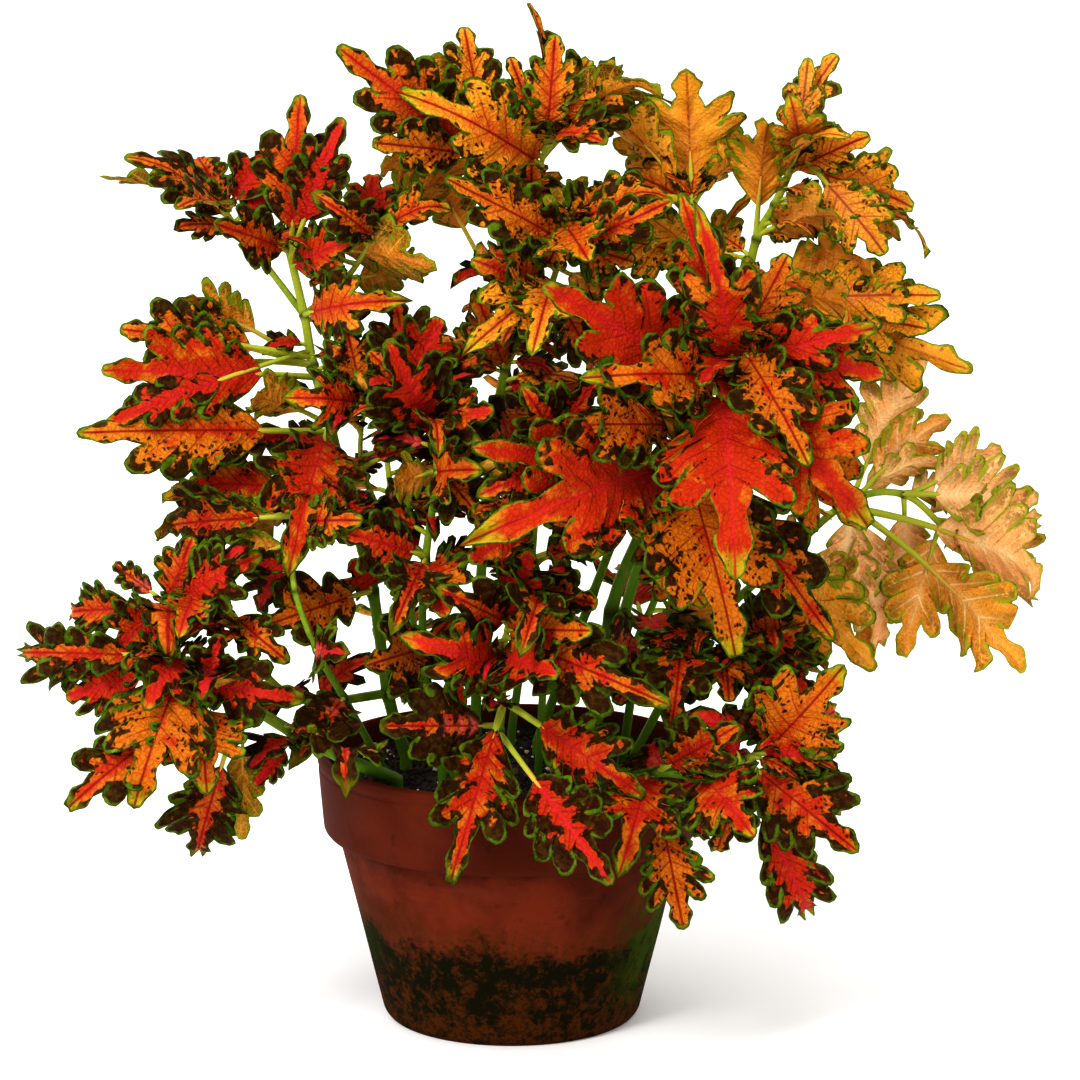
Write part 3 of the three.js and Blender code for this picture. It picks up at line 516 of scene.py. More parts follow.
# Each shoot's axes are (girth, foot or parent, start, nodes). Each leaf is (axis, node, tip x, y,
# z, width, share of stalk) and, where it isn't a plain one that looks to the front, the side of
# its solid and then its own, how slim it is, old and dark. "more" are small ones that the solids
# leave out, "young" is the share of its young leaves that a shoot keeps.
shoots = {
    "left_high": {
        "axes": [
            (4.6, "foot", (-37, 2), [(-43, -2, 115), (-48, -4, 152), (-56, -2, 183), (-62, 0, 208),
             (-68, 2, 230), (-71, 4, 247), (-76, 6, 269)]),
            (2.4, "from", (0, 6), [(-85, 8, 265), (-98, 10, 282)]),
            (2.4, "from", (0, 6), [(-57, -6, 260), (-46, -10, 276)]),
            (3.2, "from", (0, 1), [(-63, -14, 115), (-75, -20, 118), (-84, -26, 127),
             (-90, -32, 139), (-95, -36, 151), (-107, -38, 157), (-119, -36, 153)]),
        ],
        "leaves": [
            (0, 7, -71, -14, 322, 26, 0.26), (0, 7, -100, -30, 283, 21, 0.22),
            (0, 5, -118, -18, 230, 30, 0.4, back), (0, 4, -144, -34, 213, 36, 0.3, 0.85),
            (0, 6, -44, -28, 257, 24, 0.2), (0, 4, -73, -44, 177, 36, 0.15),
            (0, 3, -117, -20, 191, 26, 0.42, raised), (0, 3, -123, -4, 176, 22, 0.42, back),
            (0, 2, -86, -42, 147, 26, 0.25), (1, 2, -128, -4, 304, 22, 0.15, raised),
            (1, 2, -111, -28, 289, 16, 0.2, raised), (1, 2, -84, 22, 301, 20, 0.2),
            (2, 2, -14, 14, 300, 20, 0.2, back), (2, 2, -23, -20, 289, 18, 0.2, raised),
            (3, 7, -87, -50, 173, 26, 0.15), (3, 7, -108, -34, 176, 20, 0.15),
            (3, 7, -153, -20, 148, 24, 0.25, 0.8), (3, 6, -99, -58, 147, 22, 0.1),
        ],
        "more": [
            (0, 4, -105, -20, 201, 14, 0.35, raised), (1, 2, -137, -14, 295, 10, 0.3, backUp),
            (1, 2, -110, 28, 301, 16, 0.2, raised), (2, 2, -47, 4, 295, 18, 0.2),
            (2, 1, -29, 14, 259, 22, 0.2, back), (3, 7, -135, -30, 167, 10, 0.3),
            (3, 6, -110, -64, 152, 20, 0.1), (3, 5, -77, -54, 140, 17, 0.15),
            (0, 5, -136, -30, 233, 32, 0.3), (0, 5, -113, -10, 255, 22, 0.45, back),
            (0, 5, -123, -6, 245, 24, 0.4), (3, 7, -134, -50, 140, 24, 0.1),
            (0, 7, -54, -18, 276, 22, 0.1), (0, 7, -57, -18, 316, 22, 0.35),
            (0, 4, -90, -22, 223, 22, 0.3, back), (0, 7, -28, -34, 268, 22, 0.3, back),
            (2, 2, -63, -26, 291, 18, 0.1), (0, 5, -131, -22, 246, 26, 0.5),
            (0, 5, -134, -34, 217, 16, 0.5), (0, 2, -55, -14, 165, 18, 0.15),
        ],
    },
    "left_low": {
        "axes": [
            (4.4, "foot", (-39, -31), [(-57, -42, 102), (-74, -46, 112), (-91, -48, 123),
             (-103, -48, 128), (-112, -46, 139)]),
        ],
        "leaves": [
            (0, 5, -171, -22, 135, 30, 0.38, 0.78), (0, 5, -150, -40, 125, 20, 0.4),
            (0, 5, -124, -84, 101, 40, 0.08), (0, 4, -146, -78, 96, 24, 0.42),
            (0, 4, -102, -74, 102, 34, 0.28), (0, 3, -108, -46, 67, 30, 0.38, "dark"),
            (0, 4, -74, -66, 129, 24, 0.1), (0, 5, -120, -74, 130, 26, 0.1),
            (0, 1, -55, -78, 110, 28, 0.2, "old"),
        ],
        "more": [
            (0, 3, -91, -56, 78, 13, 0.35, back), (0, 2, -86, -60, 97, 11, 0.35),
            (0, 4, -97, -60, 149, 18, 0.15), (0, 5, -168, -46, 140, 26, 0.3, 0.6),
            (0, 2, -64, -56, 111, 20, 0.2, raised),
        ],
    },
    "left_inner": {
        "axes": [
            (2.6, "foot", (-44, -14), [(-57, -34, 121), (-66, -40, 139), (-73, -38, 159),
             (-74, -34, 174), (-70, -30, 189)]),
        ],
        "leaves": [
            (0, 2, -58, -60, 143, 22, 0.2, "dark"), (0, 4, -92, -28, 168, 24, 0.25, back),
            (0, 5, -65, -30, 212, 24, 0.2),
        ],
        "more": [
            (0, 5, -53, -50, 186, 20, 0.2), (0, 1, -70, -62, 110, 20, 0.1, "old"),
            (0, 5, -121, -14, 177, 26, 0.25), (0, 5, -104, -22, 172, 22, 0.2, back),
            (0, 4, -86, -20, 150, 20, 0.15), (0, 5, -80, -24, 181, 16, 0.15),
        ],
    },
    "centre_left": {
        "axes": [
            (3.4, "foot", (-24, -16), [(-30, -26, 136), (-29, -34, 169), (-25, -36, 200),
             (-28, -34, 215), (-37, -30, 228)]),
            (2.2, "from", (0, 2), [(-43, -24, 181), (-51, -18, 200), (-50, -14, 220)]),
        ],
        "leaves": [
            (0, 4, -40, -62, 247, 36, 0.1), (0, 4, -6, -50, 223, 22, 0.15),
            (0, 3, -15, -60, 205, 26, 0.15), (0, 3, -10, -58, 187, 24, 0.1),
            (0, 2, -22, -66, 157, 32, 0.12), (0, 2, -56, -46, 181, 26, 0.2),
            (0, 1, -49, -78, 142, 32, 0.12), (1, 3, -71, -34, 225, 24, 0.1),
        ],
        "more": [
            (0, 4, -24, -66, 219, 14, 0.2), (0, 3, -40, -48, 196, 20, 0.2, back),
            (0, 2, -37, -72, 159, 20, 0.15), (1, 3, -58, -12, 230, 16, 0.2),
            (1, 3, -56, -24, 250, 20, 0.15), (0, 5, -39, -10, 252, 22, 0.15, raised),
            (0, 5, -24, -26, 250, 24, 0.15), (0, 4, -15, -20, 243, 20, 0.2),
            (0, 5, -47, -34, 240, 20, 0.1), (0, 1, -24, -46, 147, 18, 0.1),
            (0, 1, -39, -30, 119, 16, 0.1),
        ],
    },
    "centre_high": {
        "axes": [
            (4.2, "foot", (-13, 5), [(-11, 4, 147), (-7, 4, 200), (-2, 4, 228), (1, 4, 240),
             (-4, 6, 275), (-8, 8, 303)]),
            (2.4, "from", (0, 5), [(7, 2, 290), (13, -2, 309)]),
            (2.6, "from", (0, 4), [(13, -10, 258), (19, -16, 280)]),
        ],
        "leaves": [
            (0, 6, -57, -14, 339, 28, 0.2), (0, 6, -41, 18, 334, 28, 0.1, back),
            (0, 6, -16, 24, 344, 18, 0.2), (1, 2, -28, -30, 325, 32, 0.05),
            (1, 2, 6, 8, 353, 10, 0.2, right), (1, 2, 36, 0, 335, 34, 0.12),
            (1, 2, 15, -8, 343, 20, 0.2), (1, 2, 31, -18, 310, 24, 0.12, raised),
            (1, 1, 7, -34, 302, 24, 0.1), (2, 2, -21, -34, 298, 30, 0.1, 0.8),
            (2, 2, 53, -22, 295, 22, 0.2, raised), (2, 2, 26, -46, 272, 28, 0.1),
            (2, 1, -11, -40, 270, 24, 0.1), (2, 1, -8, -46, 249, 26, 0.1),
            (2, 1, 8, -60, 248, 24, 0.1), (0, 2, 16, -30, 223, 24, 0.2),
        ],
        "more": [
            (0, 6, -46, -32, 310, 18, 0.35), (0, 4, -30, 22, 298, 22, 0.62, back),
            (1, 2, 54, 18, 324, 10, 0.2, up), (2, 2, 53, -38, 291, 18, 0.2),
            (2, 2, 25, -12, 296, 20, 0.15, backUp), (2, 2, 41, -24, 269, 24, 0.15),
            (1, 2, 0, 2, 335, 14, 0.15), (1, 2, 26, -4, 335, 20, 0.2),
            (2, 1, 29, -6, 246, 24, 0.15, backUp), (2, 1, 30, -14, 230, 18, 0.2),
            (0, 3, -11, -8, 254, 20, 0.1), (0, 6, -45, -14, 300, 24, 0.35, back),
            (1, 2, 49, -10, 330, 26, 0.15, backUp), (2, 2, 32, -10, 294, 20, 0.15),
            (2, 2, 12, -14, 266, 16, 0.1),
        ],
    },
    "right_high": {
        "axes": [
            (4.4, "foot", (28, 16), [(39, 16, 137), (52, 18, 179), (68, 22, 218), (80, 22, 249),
             (85, 20, 271), (91, 18, 283), (99, 16, 302)]),
        ],
        "leaves": [
            (0, 7, 111, 6, 335, 17, 0.28, left), (0, 7, 95, -12, 321, 22, 0.15),
            (0, 5, 87, 0, 315, 26, 0.25, back), (0, 5, 112, -14, 283, 26, 0.15, back),
            (0, 6, 140, 6, 281, 36, 0.3, back), (0, 4, 153, -8, 229, 42, 0.2, back, 0.85),
            (0, 4, 146, 14, 254, 24, 0.3), (0, 4, 119, -30, 250, 24, 0.2, back),
            (0, 3, 48, 20, 250, 26, 0.15),
        ],
        "more": [
            (0, 7, 110, -16, 313, 17, 0.15, raised), (0, 6, 144, -8, 276, 8, 0.4, backUp),
            (0, 4, 129, -4, 266, 34, 0.3, back), (0, 7, 121, 6, 308, 16, 0.15),
            (0, 7, 137, 4, 285, 22, 0.25), (0, 4, 142, 4, 242, 26, 0.4),
            (0, 7, 101, 4, 334, 15, 0.1), (0, 7, 127, -4, 270, 24, 0.35),
        ],
    },
    "top_mid": {
        "young": 0.6,
        "axes": [
            (3.6, "foot", (9, 24), [(28, 26, 142), (45, 28, 188), (59, 24, 232), (65, 16, 264),
             (62, 10, 286)]),
        ],
        "leaves": [
            (0, 5, 60, 8, 329, 40, 0.16, back), (0, 5, 17, -6, 326, 22, 0.15, backUp),
            (0, 4, 49, -14, 281, 22, 0.2, back), (0, 4, 31, 4, 274, 24, 0.2),
            (0, 3, 81, 36, 286, 20, 0.3, back, 0.5), (0, 2, 17, 20, 179, 26, 0.2),
        ],
        "more": [
            (0, 5, 82, 18, 301, 18, 0.25, backUp), (0, 5, 34, 24, 315, 20, 0.2, back),
        ],
    },
    "right_head": {
        "axes": [
            (4.8, "foot", (26, -20), [(34, -30, 150), (44, -34, 179), (50, -38, 201),
             (57, -44, 215), (68, -54, 233), (76, -64, 247)]),
        ],
        "leaves": [
            (0, 6, 72, -112, 188, 48, 0.14), (0, 6, 114, -92, 197, 40, 0.18),
            (0, 6, 114, -86, 255, 22, 0.15), (0, 4, 73, -88, 153, 44, 0.22),
            (0, 5, 11, -90, 270, 34, 0.15), (0, 6, 56, -62, 296, 28, 0.1, 0.7),
            (0, 6, 63, -92, 287, 32, 0.06, 0.85), (0, 6, 91, -60, 275, 30, 0.1),
            (0, 6, 122, -66, 238, 28, 0.15), (0, 4, 105, -62, 150, 24, 0.3),
            (0, 5, 116, -70, 188, 34, 0.2), (0, 5, 31, -98, 243, 28, 0.1),
            (0, 3, -13, -88, 217, 24, 0.1), (0, 3, 0, -98, 195, 44, 0.12),
            (0, 3, 121, -38, 132, 30, 0.5, back), (0, 4, 18, -78, 223, 28, 0.2),
            (0, 6, 95, -96, 216, 26, 0.1), (0, 2, 63, -56, 160, 24, 0.12),
        ],
        "more": [
            (0, 3, 50, -74, 174, 24, 0.15), (0, 3, 29, -80, 183, 26, 0.15),
        ],
    },
    "right_side": {
        "young": 0.3,
        "axes": [
            (3.4, "foot", (43, 6), [(66, 8, 132), (94, 8, 160), (117, 6, 181), (136, 4, 184),
             (151, 0, 172)]),
        ],
        "leaves": [
            (0, 3, 184, -30, 160, 42, 0.42, back), (0, 3, 171, -46, 134, 34, 0.4, back, 0.85),
            (0, 5, 136, -18, 134, 24, 0.12, back), (0, 3, 145, 24, 229, 22, 0.25, back),
            (0, 3, 151, 16, 209, 26, 0.25, back), (0, 5, 179, 22, 150, 20, 0.2),
            (0, 4, 138, 20, 151, 24, 0.2), (0, 2, 122, -14, 152, 22, 0.3),
        ],
        "more": [
            (0, 3, 148, 10, 197, 12, 0.3, back), (0, 5, 182, 18, 167, 14, 0.3),
            (0, 4, 182, 2, 183, 30, 0.25), (0, 4, 169, 8, 198, 26, 0.3),
            (0, 3, 125, 6, 126, 28, 0.15, back), (0, 3, 113, -6, 135, 24, 0.15),
            (0, 5, 185, 0, 157, 24, 0.1), (0, 5, 185, 4, 175, 30, 0.1),
            (0, 3, 129, -2, 130, 22, 0.2),
        ],
    },
    "right_inner": {
        "axes": [
            (3.4, "foot", (38, -10), [(45, -22, 136), (58, -30, 142), (73, -36, 143),
             (86, -40, 138)]),
        ],
        "leaves": [
            (0, 2, 54, -66, 122, 28, 0.12), (0, 4, 99, -54, 152, 34, 0.1),
            (0, 4, 101, -60, 126, 30, 0.1), (0, 4, 91, -30, 158, 22, 0.1),
            (0, 1, 26, -50, 141, 26, 0.2),
        ],
        "more": [
            (0, 3, 73, -56, 125, 22, 0.2), (0, 2, 48, -52, 134, 16, 0.4, back),
            (0, 3, 84, -50, 124, 20, 0.2), (0, 2, 65, -44, 123, 20, 0.2),
            (0, 2, 53, -50, 118, 18, 0.25), (0, 4, 100, -10, 168, 20, 0.3),
            (0, 2, 61, -30, 155, 20, 0.15, back), (0, 1, 36, -34, 119, 20, 0.15),
            (0, 4, 108, -44, 136, 22, 0.15, back),
        ],
    },
    "right_low": {
        "axes": [
            (3.8, "foot", (27, -40), [(48, -58, 101), (64, -66, 102), (78, -62, 106),
             (89, -56, 110)]),
        ],
        "leaves": [
            (0, 1, 38, -90, 82, 34, 0.1), (0, 1, 57, -80, 54, 24, 0.38),
            (0, 2, 78, -90, 90, 32, 0.05), (0, 3, 103, -60, 47, 24, 0.3, left, front, 0.95),
            (0, 3, 114, -70, 78, 34, 0.12), (0, 4, 107, -74, 137, 36, 0.06),
            (0, 1, 75, -66, 122, 28, 0.2), (0, 4, 80, -62, 126, 24, 0.1),
            (0, 3, 59, -84, 98, 26, 0.1), (0, 1, 46, -60, 111, 30, 0.15, "old"),
        ],
        "more": [
            (0, 4, 108, -66, 110, 22, 0.08), (0, 3, 69, -62, 74, 22, 0.2),
            (0, 4, 111, -44, 116, 20, 0.2), (0, 4, 111, -50, 121, 22, 0.2),
            (0, 2, 63, -66, 79, 18, 0.1), (0, 4, 112, -62, 88, 18, 0.35),
        ],
    },
    "front": {
        "axes": [
            (3.4, "foot", (-5, -46), [(-4, -48, 113), (-3, -50, 123), (-3, -52, 138),
             (-1, -54, 152)]),
        ],
        "leaves": [
            (0, 2, -19, -88, 76, 44, 0.2, 0.64), (0, 2, 41, -82, 101, 40, 0.34, 0.72),
            (0, 1, 32, -86, 78, 28, 0.42, "dark"), (0, 3, -30, -84, 152, 26, 0.1),
            (0, 1, -43, -66, 119, 28, 0.2, "old"), (0, 4, 46, -96, 136, 28, 0.12),
            (0, 4, 26, -80, 156, 26, 0.1), (0, 4, 6, -76, 178, 24, 0.1),
            (0, 3, -19, -82, 135, 22, 0.1), (0, 3, 16, -84, 143, 24, 0.1),
        ],
        "more": [
            (0, 4, -22, -76, 167, 22, 0.12),
        ],
    },
    "centre_low": {
        "axes": [
            (3.0, "foot", (9, -28), [(11, -38, 135), (10, -46, 161), (6, -50, 182), (11, -52, 203),
             (16, -50, 216)]),
        ],
        "leaves": [
            (0, 5, 5, -66, 232, 22, 0.1), (0, 5, 27, -70, 233, 24, 0.1),
            (0, 2, 29, -76, 161, 24, 0.1), (0, 4, 29, -66, 196, 22, 0.1),
        ],
        "more": [
            (0, 4, -7, -70, 200, 22, 0.1), (0, 3, -14, -74, 177, 22, 0.1),
            (0, 2, 5, -92, 156, 24, 0.1),
        ],
    },
}
# Shoots behind, whose leaves stand in pairs: (girth, foot, nodes, seed of their leaves).
backShoots = {
    "back_left": (3.4, (-26, 26), [(-34, 50, 122), (-42, 72, 160), (-47, 92, 195)], 13),
    "back_centre": (3.4, (0, 40), [(6, 68, 130), (10, 92, 178), (12, 110, 222)], 14),
    "back_right": (3.4, (26, 36), [(48, 62, 125), (66, 84, 168), (78, 98, 210)], 15),
}
# moves of a tip that keep a leaf clear of its neighbours
bends = [
    (0, 0, 0), (0, -6, 0), (0, 6, 0), (0, -12, 0), (0, 12, 0), (0, -18, 0), (0, 18, 0),
    (0, 0, -5), (0, 0, 5), (-5, 0, 0), (5, 0, 0), (0, -25, 0), (0, 25, 0), (0, -12, -7),
    (0, 12, -7), (-8, -12, 0), (8, -12, 0), (-8, 12, 0), (8, 12, 0), (0, -34, -4), (0, 34, -4),
    (0, -20, -12), (0, 20, -12), (-12, -24, 6), (12, -24, 6), (-12, 24, 6), (12, 24, 6),
]
whole32 = 0xFFFFFFFF


def product32(a, b):
    return ((a & whole32) * (b & whole32)) & whole32


# the repeatable stream of numbers that places the solids' back leaves
def stream(seed):
    state = seed

    def draw():
        nonlocal state
        state = (state + 0x6D2B79F5) & whole32
        t = product32(state ^ (state >> 15), state | 1)
        t ^= (t + product32(t ^ (t >> 7), t | 61)) & whole32
        return ((t ^ (t >> 14)) & whole32) / (whole32 + 1)

    return draw


# Stems
stem = {
    "steps": 10, "thin": 0.62, "swell": 0.28, "swellReach": 0.07, "ringReach": 0.06,
    "sunk": 16, "sunkGirth": 0.55, "clear": 1.2, "side": 1.8, "fillet": 0.3, "sideLime": 0.6,
}
stemLook = {
    "green": (0.11, 0.22, 0.015), "lime": (0.40, 0.44, 0.045), "ring": (0.02, 0.03, 0.006),
    "blush": (0.30, 0.10, 0.03), "rib": (0.60, 0.36, 0.07),
}


# Sweeps a square with cut corners along lines that keep their own girth.
def stemTree():
    tree, wires = newTree("stems", {"Fillet": "Float", "Finish": "Material"})
    path = wires["Geometry"].make("GeometryNodeMeshToCurve", {}, {0: wires["Geometry"]})
    girth = path.make("GeometryNodeInputNamedAttribute", {"data_type": "FLOAT"},
                      {"Name": "girth"})
    square = path.make("GeometryNodeCurvePrimitiveQuadrilateral", {},
                       {"Width": stem["side"], "Height": stem["side"]})
    square = square.make("GeometryNodeFilletCurve", {"mode": "POLY"}, {
        "Curve": square, "Count": 1, "Radius": wires["Fillet"]})
    tube = path.make("GeometryNodeCurveToMesh", {}, {
        "Curve": path, "Profile Curve": square, "Scale": girth, "Fill Caps": True})
    endTree(tree, tube, wires["Finish"])
    return tree


# a smooth line through a route's points, at a place counted in spans
def along(route, place):
    last = len(route) - 1
    i = min(int(place), last - 1)
    t = place - i
    p1, p2 = route[i], route[i + 1]
    p0 = route[i - 1] if i > 0 else p1 * 2 - p2
    p3 = route[i + 2] if i + 2 <= last else p2 * 2 - p1
    return 0.5 * (2 * p1 + (p2 - p0) * t + (2 * p0 - 5 * p1 + 4 * p2 - p3) * t * t
                  + (3 * p1 - p0 - 3 * p2 + p3) * t ** 3)


def routesOf(axes):
    routes = []
    for girth, kind, start, nodes in axes:
        if kind == "foot":
            first = (*start, soilTop + soil["relief"] + girth / 2 + stem["clear"])
        else:
            first = routes[start[0]][start[1]]
        routes.append([np.array(p, float) for p in (first, *nodes)])
    return routes


# The stems' lines with their girth, how near a node a point is and how young its stem.
def stemLines(axes, routes):
    points, edges, girths, rings, limes = [], [], [], [], []
    for (girth, kind, start, nodes), route in zip(axes, routes):
        spans, base, foot = len(route) - 1, len(points), kind == "foot"
        if foot:
            points.append(route[0] - (0, 0, stem["sunk"]))
            girths.append(girth * stem["sunkGirth"])
            rings.append(0)
            limes.append(0)
        for place in (i / stem["steps"] for i in range(stem["steps"] * spans + 1)):
            near, node = abs(place - round(place)), round(place)
            taper = blend(1.0, stem["thin"], place / spans) * girth / 2
            swell = stem["swell"] * math.exp(-(near / stem["swellReach"]) ** 2)
            points.append(along(route, place))
            girths.append(taper * (1 + swell * (0 < node < spans)))
            rings.append(math.exp(-(near / stem["ringReach"]) ** 2) * (node > 0))
            lime = place / spans
            limes.append(lime if foot else lime * stem["sideLime"] + (1 - stem["sideLime"]))
        edges += [(i, i + 1) for i in range(base, len(points) - 1)]
    mesh = meshOf("stems", points, [], edges)
    addValues(mesh, girth=np.array(girths) * 0.001, ring=rings, lime=limes)
    return mesh


def stemFinish():
    material, wire = newMaterial("stem")
    place = wire.place()
    young = (wire.kept("lime") * 0.8 + (place.noise(0.22, 4, 0.6) - 0.5) * 0.8).step(0.1, 0.9)
    colour = layered(young.tint(stemLook["green"], stemLook["lime"]), stemLook,
                     (wire.kept("ring") * 0.85, "ring"),
                     (place.noise(0.6, 2).step(0.62, 0.75) * 0.4, "blush"))
    surface(wire, {"Base Color": colour, "Roughness": 0.5, "Specular IOR Level": 0.12},
            (place.scaled((2, 2, 0.5)).noise(1.2, 3, 0.6), 0.25))
    return material


# Leaves: first how the solids' leaves are built, and the pairs on the shoots behind.
plant = {
    "arch": 0.1, "keel": 0.16, "spacing": 2.4, "thickness": 0.7, "tongue": 0.21,
    "oldTongue": 0.3, "near": 0.06, "pairLength": (58, 40), "pairRise": 0.35,
    "pairWidth": 0.56, "pairStalk": 0.24,
}
leafLook = {
    "orange": (0.48, 0.150, 0.010), "red": (0.42, 0.034, 0.006), "crimson": (0.46, 0.020, 0.026),
    "gold": (0.70, 0.315, 0.024), "dark": (0.014, 0.006, 0.0006), "olive": (0.042, 0.024, 0.0015),
    "net": (0.19, 0.009, 0.003), "green": (0.042, 0.078, 0.003), "bright": (0.160, 0.235, 0.012),
    "lime": (0.42, 0.42, 0.02), "ochre": (0.64, 0.27, 0.012), "peach": (0.80, 0.42, 0.075),
    "blotch": (0.11, 0.085, 0.004), "pinkish": (0.84, 0.42, 0.17), "amber": (0.66, 0.26, 0.022),
    "cream": (0.90, 0.70, 0.38), "tan": (0.13, 0.105, 0.008), "star": (0.62, 0.13, 0.10),
    "veinUnder": (0.72, 0.38, 0.06), "rimUnder": (0.20, 0.22, 0.01),
    # the glow value is a painted glow: light of the leaves' own colour, standing in for light
    # shining through them
    "rimPale": (0.30, 0.32, 0.02), "paintedGlow": 0.03, "shine": 0.07,
}
# how a blade is cut: fingers on a side and points round each, by the least width in mm
cut = {
    "fingers": ((28, 4, 4), (20, 3, 4), (0, 3, 3)), "columns": ((26, 16), (17, 12), (0, 6)),
    "youngColumns": 4, "youngTongue": 3, "rows": (0, 0.1, 0.32, 0.56, 0.78, 0.92, 1),
    "youngRows": (0, 1), "base": 0.13, "run": (0.55, 0.53), "lean": (0.05, 0.20),
    "neck": (0.34, 0.25), "depth": (0.36, 0.56), "oldDepth": 0.16, "reach": (0.85, 1.1),
    "broad": 1.42, "crenations": 2.4, "crenate": 0.13, "tongue": (0.40, 0.24), "past": 1.03,
    "thick": 0.38, "wave": 0.05, "quilt": 0.5, "lift": 0.36, "fold": 0.09, "curl": (-0.28, 0.10),
    "cup": (-0.45, 0.6), "twist": 0.4, "ribEnd": (0.6, 0.94), "ribBend": 1.15,
    "curlFrom": 0.62, "ribThick": 0.5,
}


def marginAt(share):
    return math.sin(math.pi * (0.15 + 0.64 * share))


# One half of a blade's margin in mm, from its base to its tip: a row of x, y, the place on the
# rib that it is drawn from, the finger's lift and how near the finger's end for each point.
# Returns it with the fingers' veins.
def halfMargin(leaf, blade, end, count, dice):
    half = leaf["width"] * leaf["slim"] / 2
    large = min(1.0, max(0.0, (leaf["width"] - 12) / 20))
    columns = next(n for least, n in cut["columns"] if leaf["width"] >= least)
    columns = columns if leaf["detail"] else cut["youngColumns"]
    depth = cut["oldDepth"] if leaf["old"] else dice.uniform(*cut["depth"])
    run, ribEnd = blend(*cut["run"], large), cut["ribEnd"][0]
    line, veins = [], []
    before = np.array((0.0, 0.8))
    for i in range(count):
        middle, done, last = (i + 0.5) / count, (i + 1) / count, i + 1 == count
        tip = np.array((blade * (cut["base"] + blend(*cut["lean"], middle) + run * middle),
                        half * marginAt(middle) * blend(*cut["reach"], dice.random())))
        valley = marginAt(done) * (1 - depth * dice.uniform(0.85, 1.15))
        if last:
            valley = blend(*cut["neck"], large)
        after = np.array((blade * (cut["base"] + run * done), half * valley))
        centre, side = (before + after) / 2, (after - before) / 2
        outward = tip - centre
        ahead = unit(outward)
        square = np.array((ahead[1], -ahead[0])) * blade * run / count / 2 * cut["broad"]
        lift = leaf["width"] * cut["lift"] * (dice.random() - 0.5)
        beat = dice.uniform(-0.5, 0.5)
        for k in range(columns + last):
            u = k / columns
            s, c = math.sin(math.pi * u), -math.cos(math.pi * u)
            wave = math.cos(2 * math.pi * cut["crenations"] * (u - 0.5) + beat)
            crenate = cut["crenate"] * s * wave
            over = math.copysign(abs(c) ** 0.62, c) * (1 + crenate)
            far = s ** (1.5 if i == 0 and c < 0 else 0.64)
            point = (centre + outward * far * (1 + crenate * 0.5)
                     + blend(side, square, far) * over)
            rib = ribEnd * blade * ((i + u) / count) ** cut["ribBend"]
            line.append((*point, rib, lift * s ** 2, s ** 3))
        veins.append((ribEnd * blade * (middle ** cut["ribBend"]), tip))
        before = after
    swell = half * (plant["oldTongue"] if leaf["old"] else blend(*cut["tongue"], large))
    steps = 7 + columns // 3 if leaf["detail"] else cut["youngTongue"]
    line += tongueOf(line[-1][:2], half, swell, end, blade, steps)
    return np.array(line), veins


# the long rounded tongue that a blade ends in
def tongueOf(start, half, swell, end, blade, steps):
    line = []
    for k in range(1, steps + 1):
        t = k / steps
        x = blend(start[0], end, 1 - (1 - t) ** 1.4)
        share = (x - start[0]) / (end - start[0])
        wide = blend(start[1], swell, min(1, share * 2)) + 0.05 * half * math.sin(share * 13)
        y = wide * math.sqrt(max(0, 1 - share ** 7)) if k < steps else 0
        rib = blend(cut["ribEnd"][0] * blade, cut["ribEnd"][1] * blade, t)
        line.append((x, y, rib, 0, 0.7 * share))
    return line


def distanceTo(points, a, b):
    line = b - a
    share = np.clip(((points - a) @ line) / max(1e-9, line @ line), 0, 1)
    return np.linalg.norm(points - a - share[:, None] * line, axis=1)


# Where a place on a leaf lies in space: share of its length, offset across, height above.
def leafFrame(leaf):
    root, tip = leaf["root"], leaf["tip"]
    length = np.linalg.norm(tip - root)
    ahead = (tip - root) / length
    for side in (leaf["side"], up):
        normal = np.array(side, float)
        normal = normal - ahead * (normal @ ahead)
        if np.linalg.norm(normal) > 0.3:
            break
    normal = unit(normal)
    over = np.cross(ahead, normal)

    def at(share, offset, height):
        share, offset, height = (np.asarray(v, float)[..., None] for v in (share, offset, height))
        slope = ahead + normal * plant["arch"] * 4 * (1 - 2 * share)
        upward = np.cross(over, slope)
        upward = upward / np.linalg.norm(upward, axis=-1, keepdims=True)
        return (root + ahead * length * share
                + normal * length * plant["arch"] * 4 * share * (1 - share)
                + over * offset + upward * height)

    return at, length


def curlAt(form, x, most):
    past = np.clip((x / form["blade"] - cut["curlFrom"]) / (1 - cut["curlFrom"]), 0, most)
    return form["curl"] * past ** 2


def bumps(points, sign, size, shift, phase):
    return np.array([noise.noise(Vector((x * size + shift[0], sign * y * size + shift[1], phase)))
                     for x, y in points])


